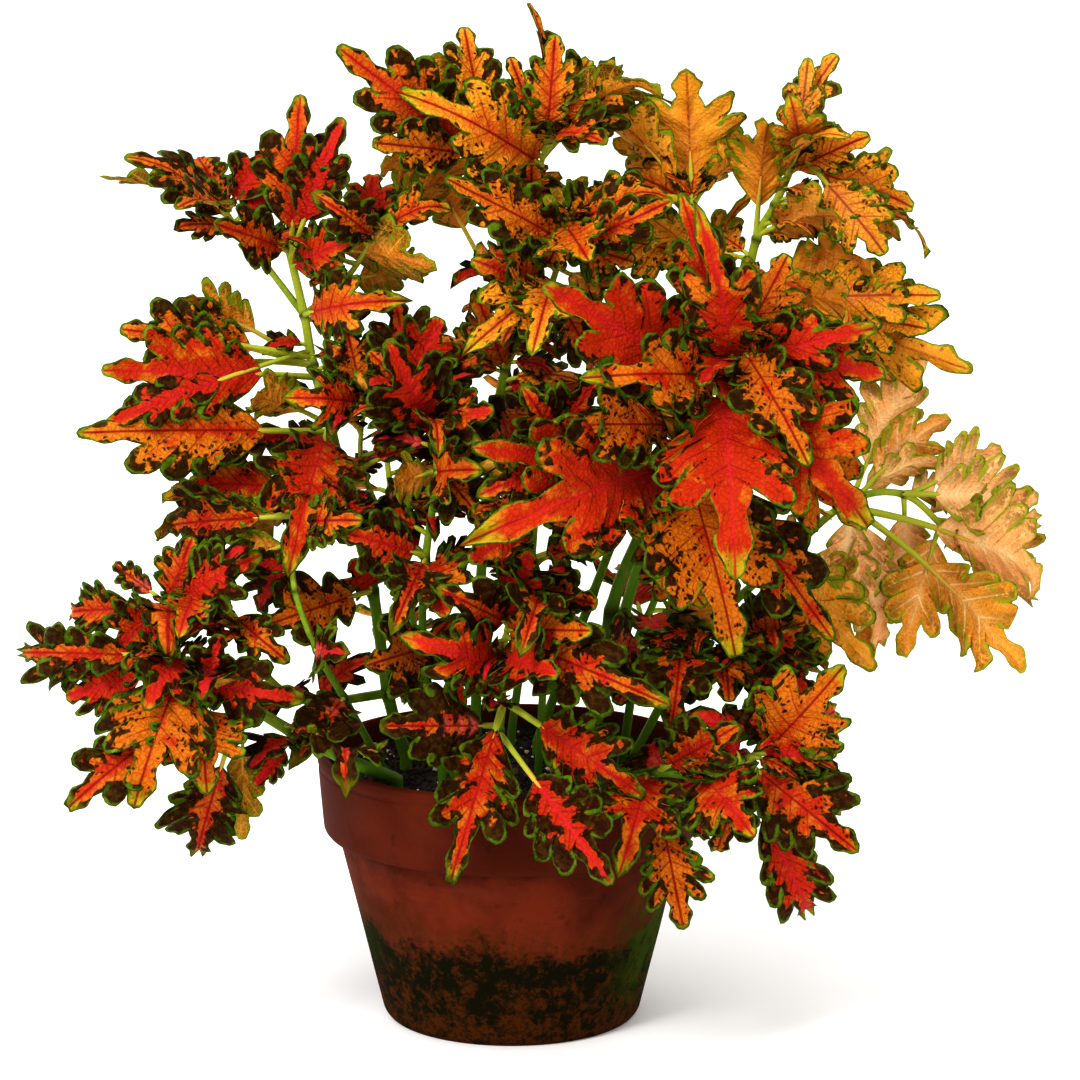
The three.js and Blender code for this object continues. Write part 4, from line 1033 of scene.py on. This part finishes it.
# A half's points between rib and margin: flat places, heights and surface values.
def halfSheet(leaf, form, sign, count, dice):
    blade, rows, shift = form["blade"], form["rows"], form["shift"]
    line, veins = halfMargin(leaf, blade, form["end"], count, dice)
    grid = np.zeros((len(line), len(rows), 2))
    for j, v in enumerate(rows):
        grid[:, j, 0] = blend(line[:, 2], line[:, 0], v)
        grid[:, j, 1] = line[:, 1] * v
    flat = grid.reshape(-1, 2)
    edge, vein = np.full(len(flat), 99.0), np.full(len(flat), 99.0)
    outline = np.vstack(((0.0, 0.8), line[:, :2]))
    for a, b in zip(outline[:-1], outline[1:]):
        edge = np.minimum(edge, distanceTo(flat, a, b))
    edge *= 1 / (0.45 + 0.55 * min(1.0, leaf["width"] / 28))
    for start, tip in veins:
        vein = np.minimum(vein, distanceTo(flat, np.array((start, 0.0)), tip * (0.97, 0.93)))
    x, y = flat[:, 0], flat[:, 1]
    reach = np.tile(rows, len(line))
    lift, crest = np.repeat(line[:, 3], len(rows)), np.repeat(line[:, 4], len(rows))
    height = plant["keel"] * y + lift * reach ** 2
    height = height + cut["fold"] * np.minimum(vein, 3.0) * np.clip(y / 3, 0, 1)
    height += curlAt(form, x, 1)
    height += form["cup"] * y * y / leaf["width"] + form["twist"] * sign * y * x / blade
    ruffle = bumps(flat, sign, 0.13, (shift[0], 0), form["phase"])
    height += ruffle * cut["wave"] * leaf["width"] * (0.3 + reach) * 1.6
    quilt = bumps(flat, sign, 0.42, (0, shift[1]), form["phase"])
    height += quilt * cut["quilt"] * (reach < 1)
    values = np.column_stack((edge, vein, y, reach, crest, x / blade, x + shift[0],
                              sign * y + shift[1], np.full(len(x), shift[2])))
    return len(line), flat, height, values


# Joins a half's points into its upper and lower face. Points are found by what they share.
def layFaces(leaf, form, half, sign, sheet, found):
    columns, flat, height, values = sheet
    rows, faces = len(form["rows"]), []
    for face in (1, 0):
        ids = np.zeros((columns, rows), int)
        for i in range(columns):
            for j in range(rows):
                n, atTip, atMargin = i * rows + j, i == columns - 1, j == rows - 1
                x, y = flat[n]
                if atMargin:
                    key = ("tip",) if atTip else (half, i)
                elif j == 0 or atTip:
                    key = ("rib", face, min(i, columns - 2) if j == 0 else columns, j)
                else:
                    key = (half, face, i, j)
                thick = 0 if atMargin else cut["thick"] / 2
                rise = curlAt(form, x, np.inf) if j == 0 or atTip else height[n]
                if j == 0 and not face:
                    rise = rise - cut["ribThick"] * (1 - 0.7 * x / form["blade"])
                row = (leaf["stalk"] + (1 - leaf["stalk"]) * x / form["blade"], sign * y,
                       rise + (thick if face else -thick), 0.5 if atMargin else face, *values[n])
                ids[i, j] = found.setdefault(key, (len(found), row))[0]
        outward = (sign > 0) == bool(face)
        for i in range(columns - 1):
            for j in range(rows - 1):
                ring = [ids[i, j], ids[i + 1, j], ids[i + 1, j + 1], ids[i, j + 1]]
                for corners in (ring[:3], (ring[0], ring[2], ring[3])):
                    corners = list(dict.fromkeys(int(k) for k in corners))
                    if len(corners) > 2:
                        faces.append(corners if outward else corners[::-1])
        if face:
            top = ids[0]
    rim = [int(k) for k in top] + [int(k) for k in ids[0][-2::-1]]
    faces.append(rim if sign > 0 else rim[::-1])
    return faces


# The points, faces and surface values of a leaf's blade.
def fineLeaf(leaf, dice):
    at, length = leafFrame(leaf)
    blade = length * (1 - leaf["stalk"])
    form = {"blade": blade, "rows": cut["rows"] if leaf["detail"] else cut["youngRows"],
            "curl": dice.uniform(*cut["curl"]) * blade, "cup": dice.uniform(*cut["cup"]),
            "phase": dice.uniform(0, 6.28), "twist": dice.uniform(-cut["twist"], cut["twist"]),
            "shift": np.array([dice.uniform(-400, 400) for axis in range(3)])}
    form["end"] = blade * cut["past"] - 0.35 * min(0, form["curl"])
    count = dice.choice(next(n for least, *n in cut["fingers"] if leaf["width"] >= least))
    sheets = [(sign, halfSheet(leaf, form, sign, count, dice)) for sign in (1, -1)]
    found, faces = {}, []
    for half, (sign, sheet) in enumerate(sheets):
        faces += layFaces(leaf, form, half, sign, sheet, found)
    table = np.array([row for order, row in found.values()])
    return at(table[:, 0], table[:, 1], table[:, 2]), faces, table[:, 3:]


bladeValues = ("upper", "edge", "vein", "rib", "out", "crest", "along")
toneValues = ("tone", "pale", "gold", "blush")


# The leaf's finish reads values kept on its points: the side, mm to the margin, to a finger's
# vein and to the rib, how far out, how near a finger's end and how far along a point lies, and
# how dark, pale, golden and crimson its leaf is.
def leafFinish(name):
    material, wire = newMaterial(name)
    upper, edge, vein, rib, out, crest, far, tone, pale, gold, blush = (
        wire.kept(label) for label in (*bladeValues, *toneValues))
    place = wire.kept("place", "VECTOR")
    swirl = place.make("ShaderNodeTexNoise", {"noise_dimensions": "2D"},
                       {"Vector": place, "Scale": 0.3}, 1)
    bent = place.make("ShaderNodeVectorMath", {"operation": "MULTIPLY_ADD"},
                      {0: swirl, 1: (3.0, 3.0, 3.0), 2: place})
    drift, grain = (place.noise(*pattern, "2D") for pattern in ((0.13, 2, 0.6), (0.55, 3, 0.65)))
    net, threads = (1 - bent.cells(scale, "DISTANCE_TO_EDGE", "2D").step(0.02, wide)
                    for scale, wide in ((0.55, 0.16), (1.2, 0.19)))
    tongue = far.step(0.6, 0.72)
    nearVein, nearRib = 1 - vein.step(0.1, 0.5), 1 - rib.step(0.2, 0.6)
    # solid darkness on old and young leaves' ends, rows of spots on the others
    solid = bent.noise(0.24, 1.5, 0.5, "2D") + (out - 0.70) * 0.7 + (tone - 0.5) * 0.95
    solid = solid + (crest - 0.5) * out * 0.16
    solid = solid - (1 - vein.step(0.2, 1.8)) * 0.10 - (1 - rib.step(0.5, 3.2)) * 0.16
    solid = solid - tongue * (0.24 - tone * 0.24)
    spots = 1 - bent.scaled((0.75, 1, 1)).cells(0.46, "F1", "2D").step(0.13, 0.31)
    spots = spots * (out + (tone - 0.5) * 0.7 + (drift - 0.5) * 1.2 - tongue * 0.25
                     + (0.5 - blush) * 0.5).step(0.36, 0.56)
    dark = wire.maths("MAXIMUM", solid.step(0.45, 0.55), spots)
    brown = place.noise(0.4, 2, 0.5, "2D").step(0.4, 0.7).tint(leafLook["dark"], leafLook["olive"])
    # a pink star on dark leaves, a lime edge to the green margin
    star = (1 - (rib * 0.35 + vein + grain * 1.5).step(0.6, 3.0)) * tone.step(0.85, 0.97)
    star = star * (1 - (far + out * 0.4 + (grain - 0.5) * 0.5).step(0.3, 0.62))
    green = (edge + (grain - 0.5) * 1.1) * 1.3 - crest * 1.05 + 0.2
    inside = (1 - green.step(0.45, 0.9)) * (1 - dark * 0.9) * (
        drift.step(0.5, 0.7) * 0.15 + far.step(0.8, 1.0) * (1 - tone) * 0.9)
    inside = wire.maths("MAXIMUM", inside, (far + (grain - 0.5) * 0.1).step(0.94, 1.03)
                        * (0.85 - tone * 0.6))
    rim = 1 - green.step(0.05, 0.75)
    margin = (drift + crest * 0.12).step(0.40, 0.72) * (1 - dark * (0.35 + grain * 0.4))
    ribColour = (blush.step(0.4, 0.7) * (1 - gold)).tint(leafLook["net"], leafLook["crimson"])
    # upper side: orange to red or gold, crimson by the rib
    redness = (drift + (blush - 0.5) * 0.5 - (out - 0.5) * 0.25).step(0.36, 0.64)
    middle = (1 - (rib + vein * 0.4).step(0.6, 5.0)) * (0.08 + tongue * 0.45 + blush * blush * 0.6)
    colour = layered(
        redness.tint(leafLook["orange"], leafLook["red"]), leafLook,
        ((gold * (grain * 0.4 + out * 0.5 + 0.35)).step(0.2, 0.9), "gold"),
        (middle * (0.8 - gold * 0.4), "crimson"),
        (net * (0.2 + grain * 0.4) + threads * 0.14, "net"), (nearVein * 0.6, "net"),
        (dark * 0.96, brown), (star * 0.85, "star"), (inside, "lime"),
        (rim, margin.tint(leafLook["green"], leafLook["bright"])),
        (nearRib * (1 - rim) * (1 - dark * 0.6) * 0.85, ribColour))
    # lower side: ochre to peach with pale veins, with the upper side's colour mixed in, most on
    # golden leaves, as painted light shining through the leaf
    under = layered(
        drift.step(0.35, 0.65).tint(leafLook["ochre"], leafLook["peach"]), leafLook,
        (tone.step(0.35, 0.9) * 0.45, "tan"), (dark * out * 0.55, "blotch"),
        (gold * 0.65 + 0.15, colour), (net * 0.3 + nearVein * 0.4, "veinUnder"),
        (1 - green.step(0.3, 0.9), "rimUnder"))
    # leaves that the light shines through
    warm = (blush * 0.9 + (drift - 0.5) * 0.8 + out * 0.3).step(0.3, 0.9)
    milk = (1 - (rib + vein * 0.4).step(0.5, 5.5)) * (1 - out) * (0.6 - blush * 0.4)
    light = layered(
        warm.tint(leafLook["pinkish"], leafLook["amber"]), leafLook,
        (milk, "cream"), (net * 0.2 + nearVein * 0.6, "cream"),
        (crest * out * (drift + grain).step(0.8, 1.05) * 0.9, "blotch"),
        ((1 - green.step(0.2, 0.9)) * 0.85, "rimPale"))
    colour = layered(colour, leafLook, (1 - upper.step(0.2, 0.5), under), (pale, light))
    relief = 0.45 * bent.cells(0.55, "DISTANCE_TO_EDGE", "2D").step(0.0, 0.38) + nearVein * -0.3
    # the emission is a faint painted glow of the leaves' own colour, standing in for light shining
    # through them
    surface(wire, {"Base Color": colour, "Roughness": 0.45 + grain * 0.2,
                   "Specular IOR Level": leafLook["shine"], "Emission Color": colour,
                   "Emission Strength": leafLook["paintedGlow"]}, (relief, 0.45))
    return material


# Leaf stalks, each going on under its leaf's rib. Lengths are in mm.
stalk = {"root": 1.15, "end": 0.9, "fillet": 0.6, "steps": 8, "under": 0.3, "thin": 0.65,
         "wide": 30, "girth": 900}


# the line that a leaf's stalk follows, with its radius
def stalkOf(leaf):
    at, length = leafFrame(leaf)
    bare, steps = leaf["stalk"], stalk["steps"]
    end = bare + (1 - bare) * stalk["under"]
    shares = np.linspace(-0.5 / length, end, steps)
    past = np.clip((shares - bare) / (end - bare), 0, 1)
    wide = min(1.4, leaf["width"] / stalk["wide"])
    radius = blend(stalk["root"], stalk["end"], np.clip(shares / bare, 0, 1))
    radius = radius * (0.55 + 0.45 * wide) * (1 - stalk["thin"] * past)
    return at(shares, np.zeros(steps), -(radius + 0.25) * np.minimum(1, past * 4)), radius


def stalkLines(leaves):
    lines, radii = zip(*(stalkOf(leaf) for leaf in leaves))
    steps = stalk["steps"]
    edges = [(start + k, start + k + 1) for start in range(0, len(lines) * steps, steps)
             for k in range(steps - 1)]
    mesh = meshOf("stalks", np.clip(np.vstack(lines), boxLow + 1, boxHigh - 1), [], edges)
    addValues(mesh, girth=np.concatenate(radii) / stalk["girth"],
              share=np.tile(np.linspace(0, 1, steps), len(lines)))
    return mesh


def stalkFinish():
    material, wire = newMaterial("leaf_stalk")
    place = wire.place()
    share = (wire.kept("share") + (place.noise(0.1) - 0.5) * 0.6).step(0.45, 1.0)
    surface(wire, {"Base Color": share.tint(stemLook["lime"], stemLook["rib"]),
                   "Roughness": 0.5, "Specular IOR Level": 0.15}, (place.noise(1.5), 0.2))
    return material


# Every leaf of a shoot, with its root on the smooth stem and its tip as the solid has it.
def leavesOf(rows, routes, corners):
    found, taken = [], {}
    for row in rows:
        axis, node, x, y, z, width, bare = row[:7]
        sides = [v for v in row[7:] if isinstance(v, tuple)] or [front]
        route, spans = routes[axis], len(routes[axis]) - 1
        crowd = sum(1 for each in rows if tuple(each[:2]) == (axis, node))
        order = taken.get((axis, node), 0)
        taken[axis, node] = order + 1
        shift = order - (crowd - 1) / 2 if node < spans else order - crowd + 0.7
        near = route[max(0, node + (-1 if shift < 0 else 1))]
        place = node + shift * plant["spacing"] / np.linalg.norm(route[node] - near)
        leaf = {"root": along(route, place), "tip": np.array((x, y, z), float), "width": width,
                "stalk": bare, "side": sides[-1], "old": "old" in row[7:], "detail": True,
                "dark": "dark" in row[7:],
                "slim": next((v for v in row[7:] if isinstance(v, float)), 1.0)}
        if corners is not None:
            low = min(int(place), spans - 1)
            chord = route[low] + (route[low + 1] - route[low]) * (place - low)
            leaf["tip"] = bentTip(dict(leaf, root=chord, side=sides[0]), corners)
        found.append(leaf)
    return found


# the place that a solid's leaf was bent to, found by the corners of its tip
def bentTip(leaf, corners):
    tongue = plant["oldTongue"] if leaf["old"] else plant["tongue"]
    offset = max(plant["thickness"], leaf["width"] / 2 * tongue)
    for bend in bends:
        tip = leaf["tip"] + bend
        at, length = leafFrame(dict(leaf, tip=tip))
        ends = at(np.ones(4), np.array((1, 1, -1, -1)) * offset,
                  plant["keel"] * offset + np.array((1, -1, 1, -1)) * plant["thickness"] / 2)
        if all(np.abs(corners - end).max(axis=1).min() < plant["near"] for end in ends):
            return tip
    raise ValueError("a leaf that no solid has")


def pairedRows(route, draw):
    rows = []
    for node in range(1, len(route)):
        turn = math.pi / 2 * node + 0.5 * draw()
        for opposite in (0, math.pi):
            length = blend(*plant["pairLength"], draw())
            x, y = math.cos(turn + opposite), math.sin(turn + opposite)
            rise = plant["pairRise"] * (2 * draw() - 0.4)
            tip = route[node] + length * np.array((x, y, rise))
            rows.append((0, node, *tip, plant["pairWidth"] * length, plant["pairStalk"],
                         (-0.5 * x, -0.5 * y, 1)))
    return rows


# Young leaves, in the axils all along a shoot and crowded at its tip; lengths in mm
young = {
    "apart": 5.0, "from": (0.35, 0.15), "length": (14, 30), "width": (0.6, 0.8), "stalk": 0.2,
    "turned": (1, 1, 1, -1), "kinds": 8, "long": 20.0, "wide": 0.72, "firstSeed": 300,
    "atTip": 9, "tipLength": (7, 15), "tipWidth": 0.7, "tipStalk": 0.12, "tipTurn": 2.4,
    "inside": 3,
}
# (x, z, radius) of gaps between the shoots, as seen by an eye in front on the pot's middle plane
gaps = [(-98, 260, 13), (-66, 161, 11), (-85, 144, 13), (-102, 98, 10), (-26, 285, 16),
        (-52, 262, 13), (76, 286, 12), (-41, 298, 12), (-34, 267, 12), (-15, 285, 8),
        (-61, 143, 10), (-76, 123, 6), (76, 304, 8), (-93, 74, 6), (-28, 256, 8), (-63, 126, 7),
        (-81, 251, 9), (-61, 146, 10), (-58, 130, 8), (76, 289, 10), (53, 284, 7), (136, 196, 9),
        (155, 204, 8), (-41, 258, 8)]
eye = np.array((0, -1500, 473))


def inGap(point):
    x, z = (eye + (point - eye) * (-eye[1] / (point[1] - eye[1])))[[0, 2]]
    return any(math.hypot(x - gap[0], z - gap[1]) < gap[2] for gap in gaps)


def axilLeaf(route, place, dice, behind):
    spans = len(route) - 1
    root = along(route, place)
    ahead = unit(along(route, min(spans, place + 0.1)) - along(route, max(0, place - 0.1)))
    turn = dice.uniform(-0.78, 0.78) * math.pi - math.pi / 2 * (-1 if behind else 1)
    away = np.array((math.cos(turn), math.sin(turn), dice.uniform(-0.35, 0.55)))
    away = unit(away - ahead * (away @ ahead) * 0.5 + ahead * dice.uniform(-0.1, 0.5))
    length = blend(*young["length"], dice.random() ** 1.3)
    if inGap(root + away * length) or inGap(root + away * length * 0.6):
        return None
    return {"root": root, "tip": root + away * length, "stalk": young["stalk"],
            "width": length * dice.uniform(*young["width"]),
            "side": unit(np.array((0.4 * away[0], 0.5 if behind else -0.6, 0.75)))
            * dice.choice(young["turned"])}


def youngLeaves(routes, dice, behind):
    found = []
    for order, route in enumerate(routes):
        spans = len(route) - 1
        size = sum(np.linalg.norm(b - a) for a, b in zip(route[:-1], route[1:]))
        first = young["from"][order > 0]
        count = int(size * (1 - first) / young["apart"])
        for i in range(count):
            part = first + (1 - first) * (i + dice.random()) / count
            found.append(axilLeaf(route, min(spans, part * spans), dice, behind))
    found = [leaf for leaf in found if leaf]
    for route in routes:
        ahead = unit(route[-1] - route[-2])
        for i in range(young["atTip"]):
            turn = i * young["tipTurn"] + dice.random()
            away = np.array((math.cos(turn), math.sin(turn), 0.0))
            away = unit(away + ahead * dice.uniform(0.2, 1.6))
            length = dice.uniform(*young["tipLength"])
            found.append({"root": route[-1] - away, "tip": route[-1] + away * length,
                          "stalk": young["tipStalk"], "width": length * young["tipWidth"],
                          "side": unit(ahead + (0, -0.5, 0.3))})
    return found


def leafMesh(name, points, faces, values):
    mesh = meshOf(name, points, faces)
    addValues(mesh, **dict(zip(bladeValues, values.T)), place=values[:, 7:])
    return mesh


# A few kinds of young leaf, each lying along x with its upper side up.
def youngKinds():
    kinds = bpy.data.collections.new("young_kinds")
    bpy.context.scene.collection.children.link(kinds)
    for i in range(young["kinds"]):
        leaf = {"root": np.zeros(3), "tip": np.array((young["long"], 0.0, 0.0)), "side": up,
                "width": young["long"] * young["wide"], "slim": 1.0, "stalk": young["stalk"],
                "old": False, "detail": False}
        made = fineLeaf(leaf, random.Random(young["firstSeed"] + i))
        kind = bpy.data.objects.new("young_%d" % i, leafMesh("young_%d" % i, *made))
        kinds.objects.link(kind)
    return kinds


def youngTree():
    tree, wires = newTree("young_leaves", {"Kinds": "Collection", "Finish": "Material"})
    points = wires["Geometry"]
    kinds = points.make("GeometryNodeCollectionInfo", {}, {
        "Collection": wires["Kinds"], "Separate Children": True, "Reset Children": True})
    kind, turn, size = (
        points.make("GeometryNodeInputNamedAttribute", {"data_type": form}, {"Name": label})
        for label, form in (("kind", "INT"), ("turn", "FLOAT_VECTOR"), ("size", "FLOAT")))
    laid = points.make("GeometryNodeInstanceOnPoints", {}, {
        "Points": points, "Instance": kinds, "Pick Instance": True, "Instance Index": kind,
        "Rotation": turn, "Scale": size})
    endTree(tree, laid, wires["Finish"])
    return tree


# the points on which young leaves are laid, with how each is turned and how big it is
def youngPoints(leaves, tones):
    dice = random.Random(len(leaves))
    turns = []
    for leaf in leaves:
        ahead = unit(leaf["tip"] - leaf["root"])
        normal = unit(leaf["side"] - ahead * (leaf["side"] @ ahead))
        axes = Matrix((ahead, np.cross(normal, ahead), normal)).transposed()
        turns.append(tuple(axes.to_euler()))
    mesh = meshOf("young", [leaf["root"] for leaf in leaves], [])
    sizes = [np.linalg.norm(leaf["tip"] - leaf["root"]) / young["long"] for leaf in leaves]
    addValues(mesh, size=sizes, turn=turns, **dict(zip(toneValues, np.array(tones).T)))
    kind = mesh.attributes.new("kind", "INT", "POINT")
    kind.data.foreach_set("value", [dice.randrange(young["kinds"]) for leaf in leaves])
    return mesh


# The shoots' pieces: first how a leaf's own tones stray from its shoot's.
stray = {"tone": 0.16, "pale": 0.1, "gold": 0.3, "small": 0.26, "old": 0.45, "dark": 0.22}


# how dark, pale and golden a leaf is, and how crimson
def leafTones(leaf, look, dice):
    tone, pale, gold = look
    small = 1 - min(1.0, max(0, leaf["width"] - 10) / 22)
    old = leaf.get("old", False)
    own = tone + stray["small"] * small + dice.uniform(-stray["tone"], stray["tone"])
    own += stray["old"] * old
    own += stray["dark"] * leaf.get("dark", False)
    light = pale + dice.uniform(-stray["pale"], stray["pale"]) if pale else 0.0
    golden = (gold + dice.uniform(-stray["gold"], stray["gold"])) * (not old)
    return np.clip((own, light, golden, dice.random()), 0, 1)


# a shoot's leaves as one mesh
def bladesMesh(name, leaves, look):
    points, faces, values, tones, base = [], [], [], [], 0
    for leaf in leaves:
        dice = random.Random("%.1f %.1f %.1f" % tuple(leaf["tip"]))
        ownPoints, ownFaces, ownValues = fineLeaf(leaf, dice)
        faces += [[k + base for k in face] for face in ownFaces]
        points.append(ownPoints)
        values.append(ownValues)
        tones.append(np.tile(leafTones(leaf, look, dice), (len(ownPoints), 1)))
        base += len(ownPoints)
    mesh = leafMesh(name, np.clip(np.vstack(points), boxLow, boxHigh), faces, np.vstack(values))
    addValues(mesh, **dict(zip(toneValues, np.vstack(tones).T)))
    return mesh


def makeShoot(name, axes, rows, more, look, finishes, share=1.0):
    dice, routes, solid = random.Random(name), routesOf(axes), "shoot_" + name
    vertices = frame["nodes"][solid].data.vertices
    corners = np.zeros(len(vertices) * 3, np.float32)
    vertices.foreach_get("co", corners)
    leaves = leavesOf(rows, routes, corners.reshape(-1, 3) * 1000) + leavesOf(more, routes, None)
    small = [leaf for leaf in youngLeaves(routes, dice, name.startswith("back"))
             if np.all(leaf["tip"] > boxLow + young["inside"])
             and np.all(leaf["tip"] < boxHigh - young["inside"]) and dice.random() < share]
    tones = [leafTones(leaf, look, dice) for leaf in small]
    blades = bladesMesh("leaves_" + name, leaves, look)
    blades.materials.append(finishes["leaf"])
    for piece in (
            grow("stems_" + name, stemLines(axes, routes), finishes["stemTree"],
                 {"Fillet": stem["fillet"], "Finish": finishes["stem"]}),
            shown("leaves_" + name, blades),
            grow("young_" + name, youngPoints(small, tones), finishes["youngTree"],
                 {"Kinds": finishes["kinds"], "Finish": finishes["leaf"]}),
            grow("stalks_" + name, stalkLines(leaves + small), finishes["stemTree"],
                 {"Fillet": stalk["fillet"], "Finish": finishes["stalk"]})):
        joinUp(piece, "foliage", solid)
    print(name, "made with", len(leaves), "leaves and", len(small), "young ones")


finishes = {"stemTree": stemTree(), "stem": stemFinish(), "leaf": leafFinish("leaf"),
            "stalk": stalkFinish(), "youngTree": youngTree(), "kinds": youngKinds()}
# how dark, pale and golden a shoot's leaves are
looks = {
    "right_side": (0.34, 0.86, 0.0), "right_head": (0.42, 0, 0.05), "front": (0.60, 0, 0.1),
    "top_mid": (0.36, 0, 0.95), "right_high": (0.30, 0.06, 1.0), "left_low": (0.60, 0, 0.1),
    "right_low": (0.58, 0, 0.1), "left_high": (0.56, 0, 0.36), "centre_high": (0.50, 0, 0.62),
}
otherLook, backLook = (0.64, 0, 0.25), (0.5, 0.0, 0.25)
for name, shoot in shoots.items():
    makeShoot(name, shoot["axes"], shoot["leaves"], shoot.get("more", []),
              looks.get(name, otherLook), finishes, shoot.get("young", 1))
for name, (girth, foot, nodes, seed) in backShoots.items():
    axes = [(girth, "foot", foot, nodes)]
    rows = pairedRows(routesOf(axes)[0], stream(seed))
    makeShoot(name, axes, rows, [], backLook, finishes)
for piece in list(finishes["kinds"].objects):
    bpy.data.objects.remove(piece)
bpy.data.collections.remove(finishes["kinds"])

# Floor, light and camera
studio = {
    "floor": 12000, "paper": (0.9, 0.9, 0.9, 1), "sky": (1, 1, 1, 1), "skyPower": 1.05,
    "keyPlace": (-1.1, -1.5, 1.7), "keyAim": (0, 0, 0.2), "keySize": 0.7, "keyPower": 30,
    "lens": 147.4, "sensor": 36, "eye": (0, -1.5, 0.473), "tilt": 78.54, "turn": -0.38,
}
far = studio["floor"]
floorMesh = meshOf("floor", [(-far, -far, 0), (far, -far, 0), (far, far, 0), (-far, far, 0)],
                   [(0, 1, 2, 3)])
floor = shown("floor", floorMesh)
paper, wire = newMaterial("paper")
surface(wire, {"Base Color": studio["paper"], "Roughness": 0.9, "Specular IOR Level": 0.1})
floorMesh.materials.append(paper)

scene = bpy.context.scene
scene.world = bpy.data.worlds.new("studio")
scene.world.use_nodes = True
background = scene.world.node_tree.nodes["Background"]
background.inputs[0].default_value = studio["sky"]
background.inputs[1].default_value = studio["skyPower"]

light = bpy.data.lights.new("key", "AREA")
light.shape, light.size, light.energy = "DISK", studio["keySize"], studio["keyPower"]
key = shown("key", light)
key.location = studio["keyPlace"]
aim = Vector(studio["keyAim"]) - Vector(studio["keyPlace"])
key.rotation_euler = aim.to_track_quat("-Z", "Y").to_euler()

lens = bpy.data.cameras.new("camera")
lens.lens, lens.sensor_width = studio["lens"], studio["sensor"]
camera = shown("camera", lens)
camera.location = studio["eye"]
camera.rotation_euler = (math.radians(studio["tilt"]), 0, math.radians(studio["turn"]))
scene.camera = camera
scene.view_settings.view_transform = "Standard"
scene.view_settings.look = "High Contrast"
print("floor, light and camera made")
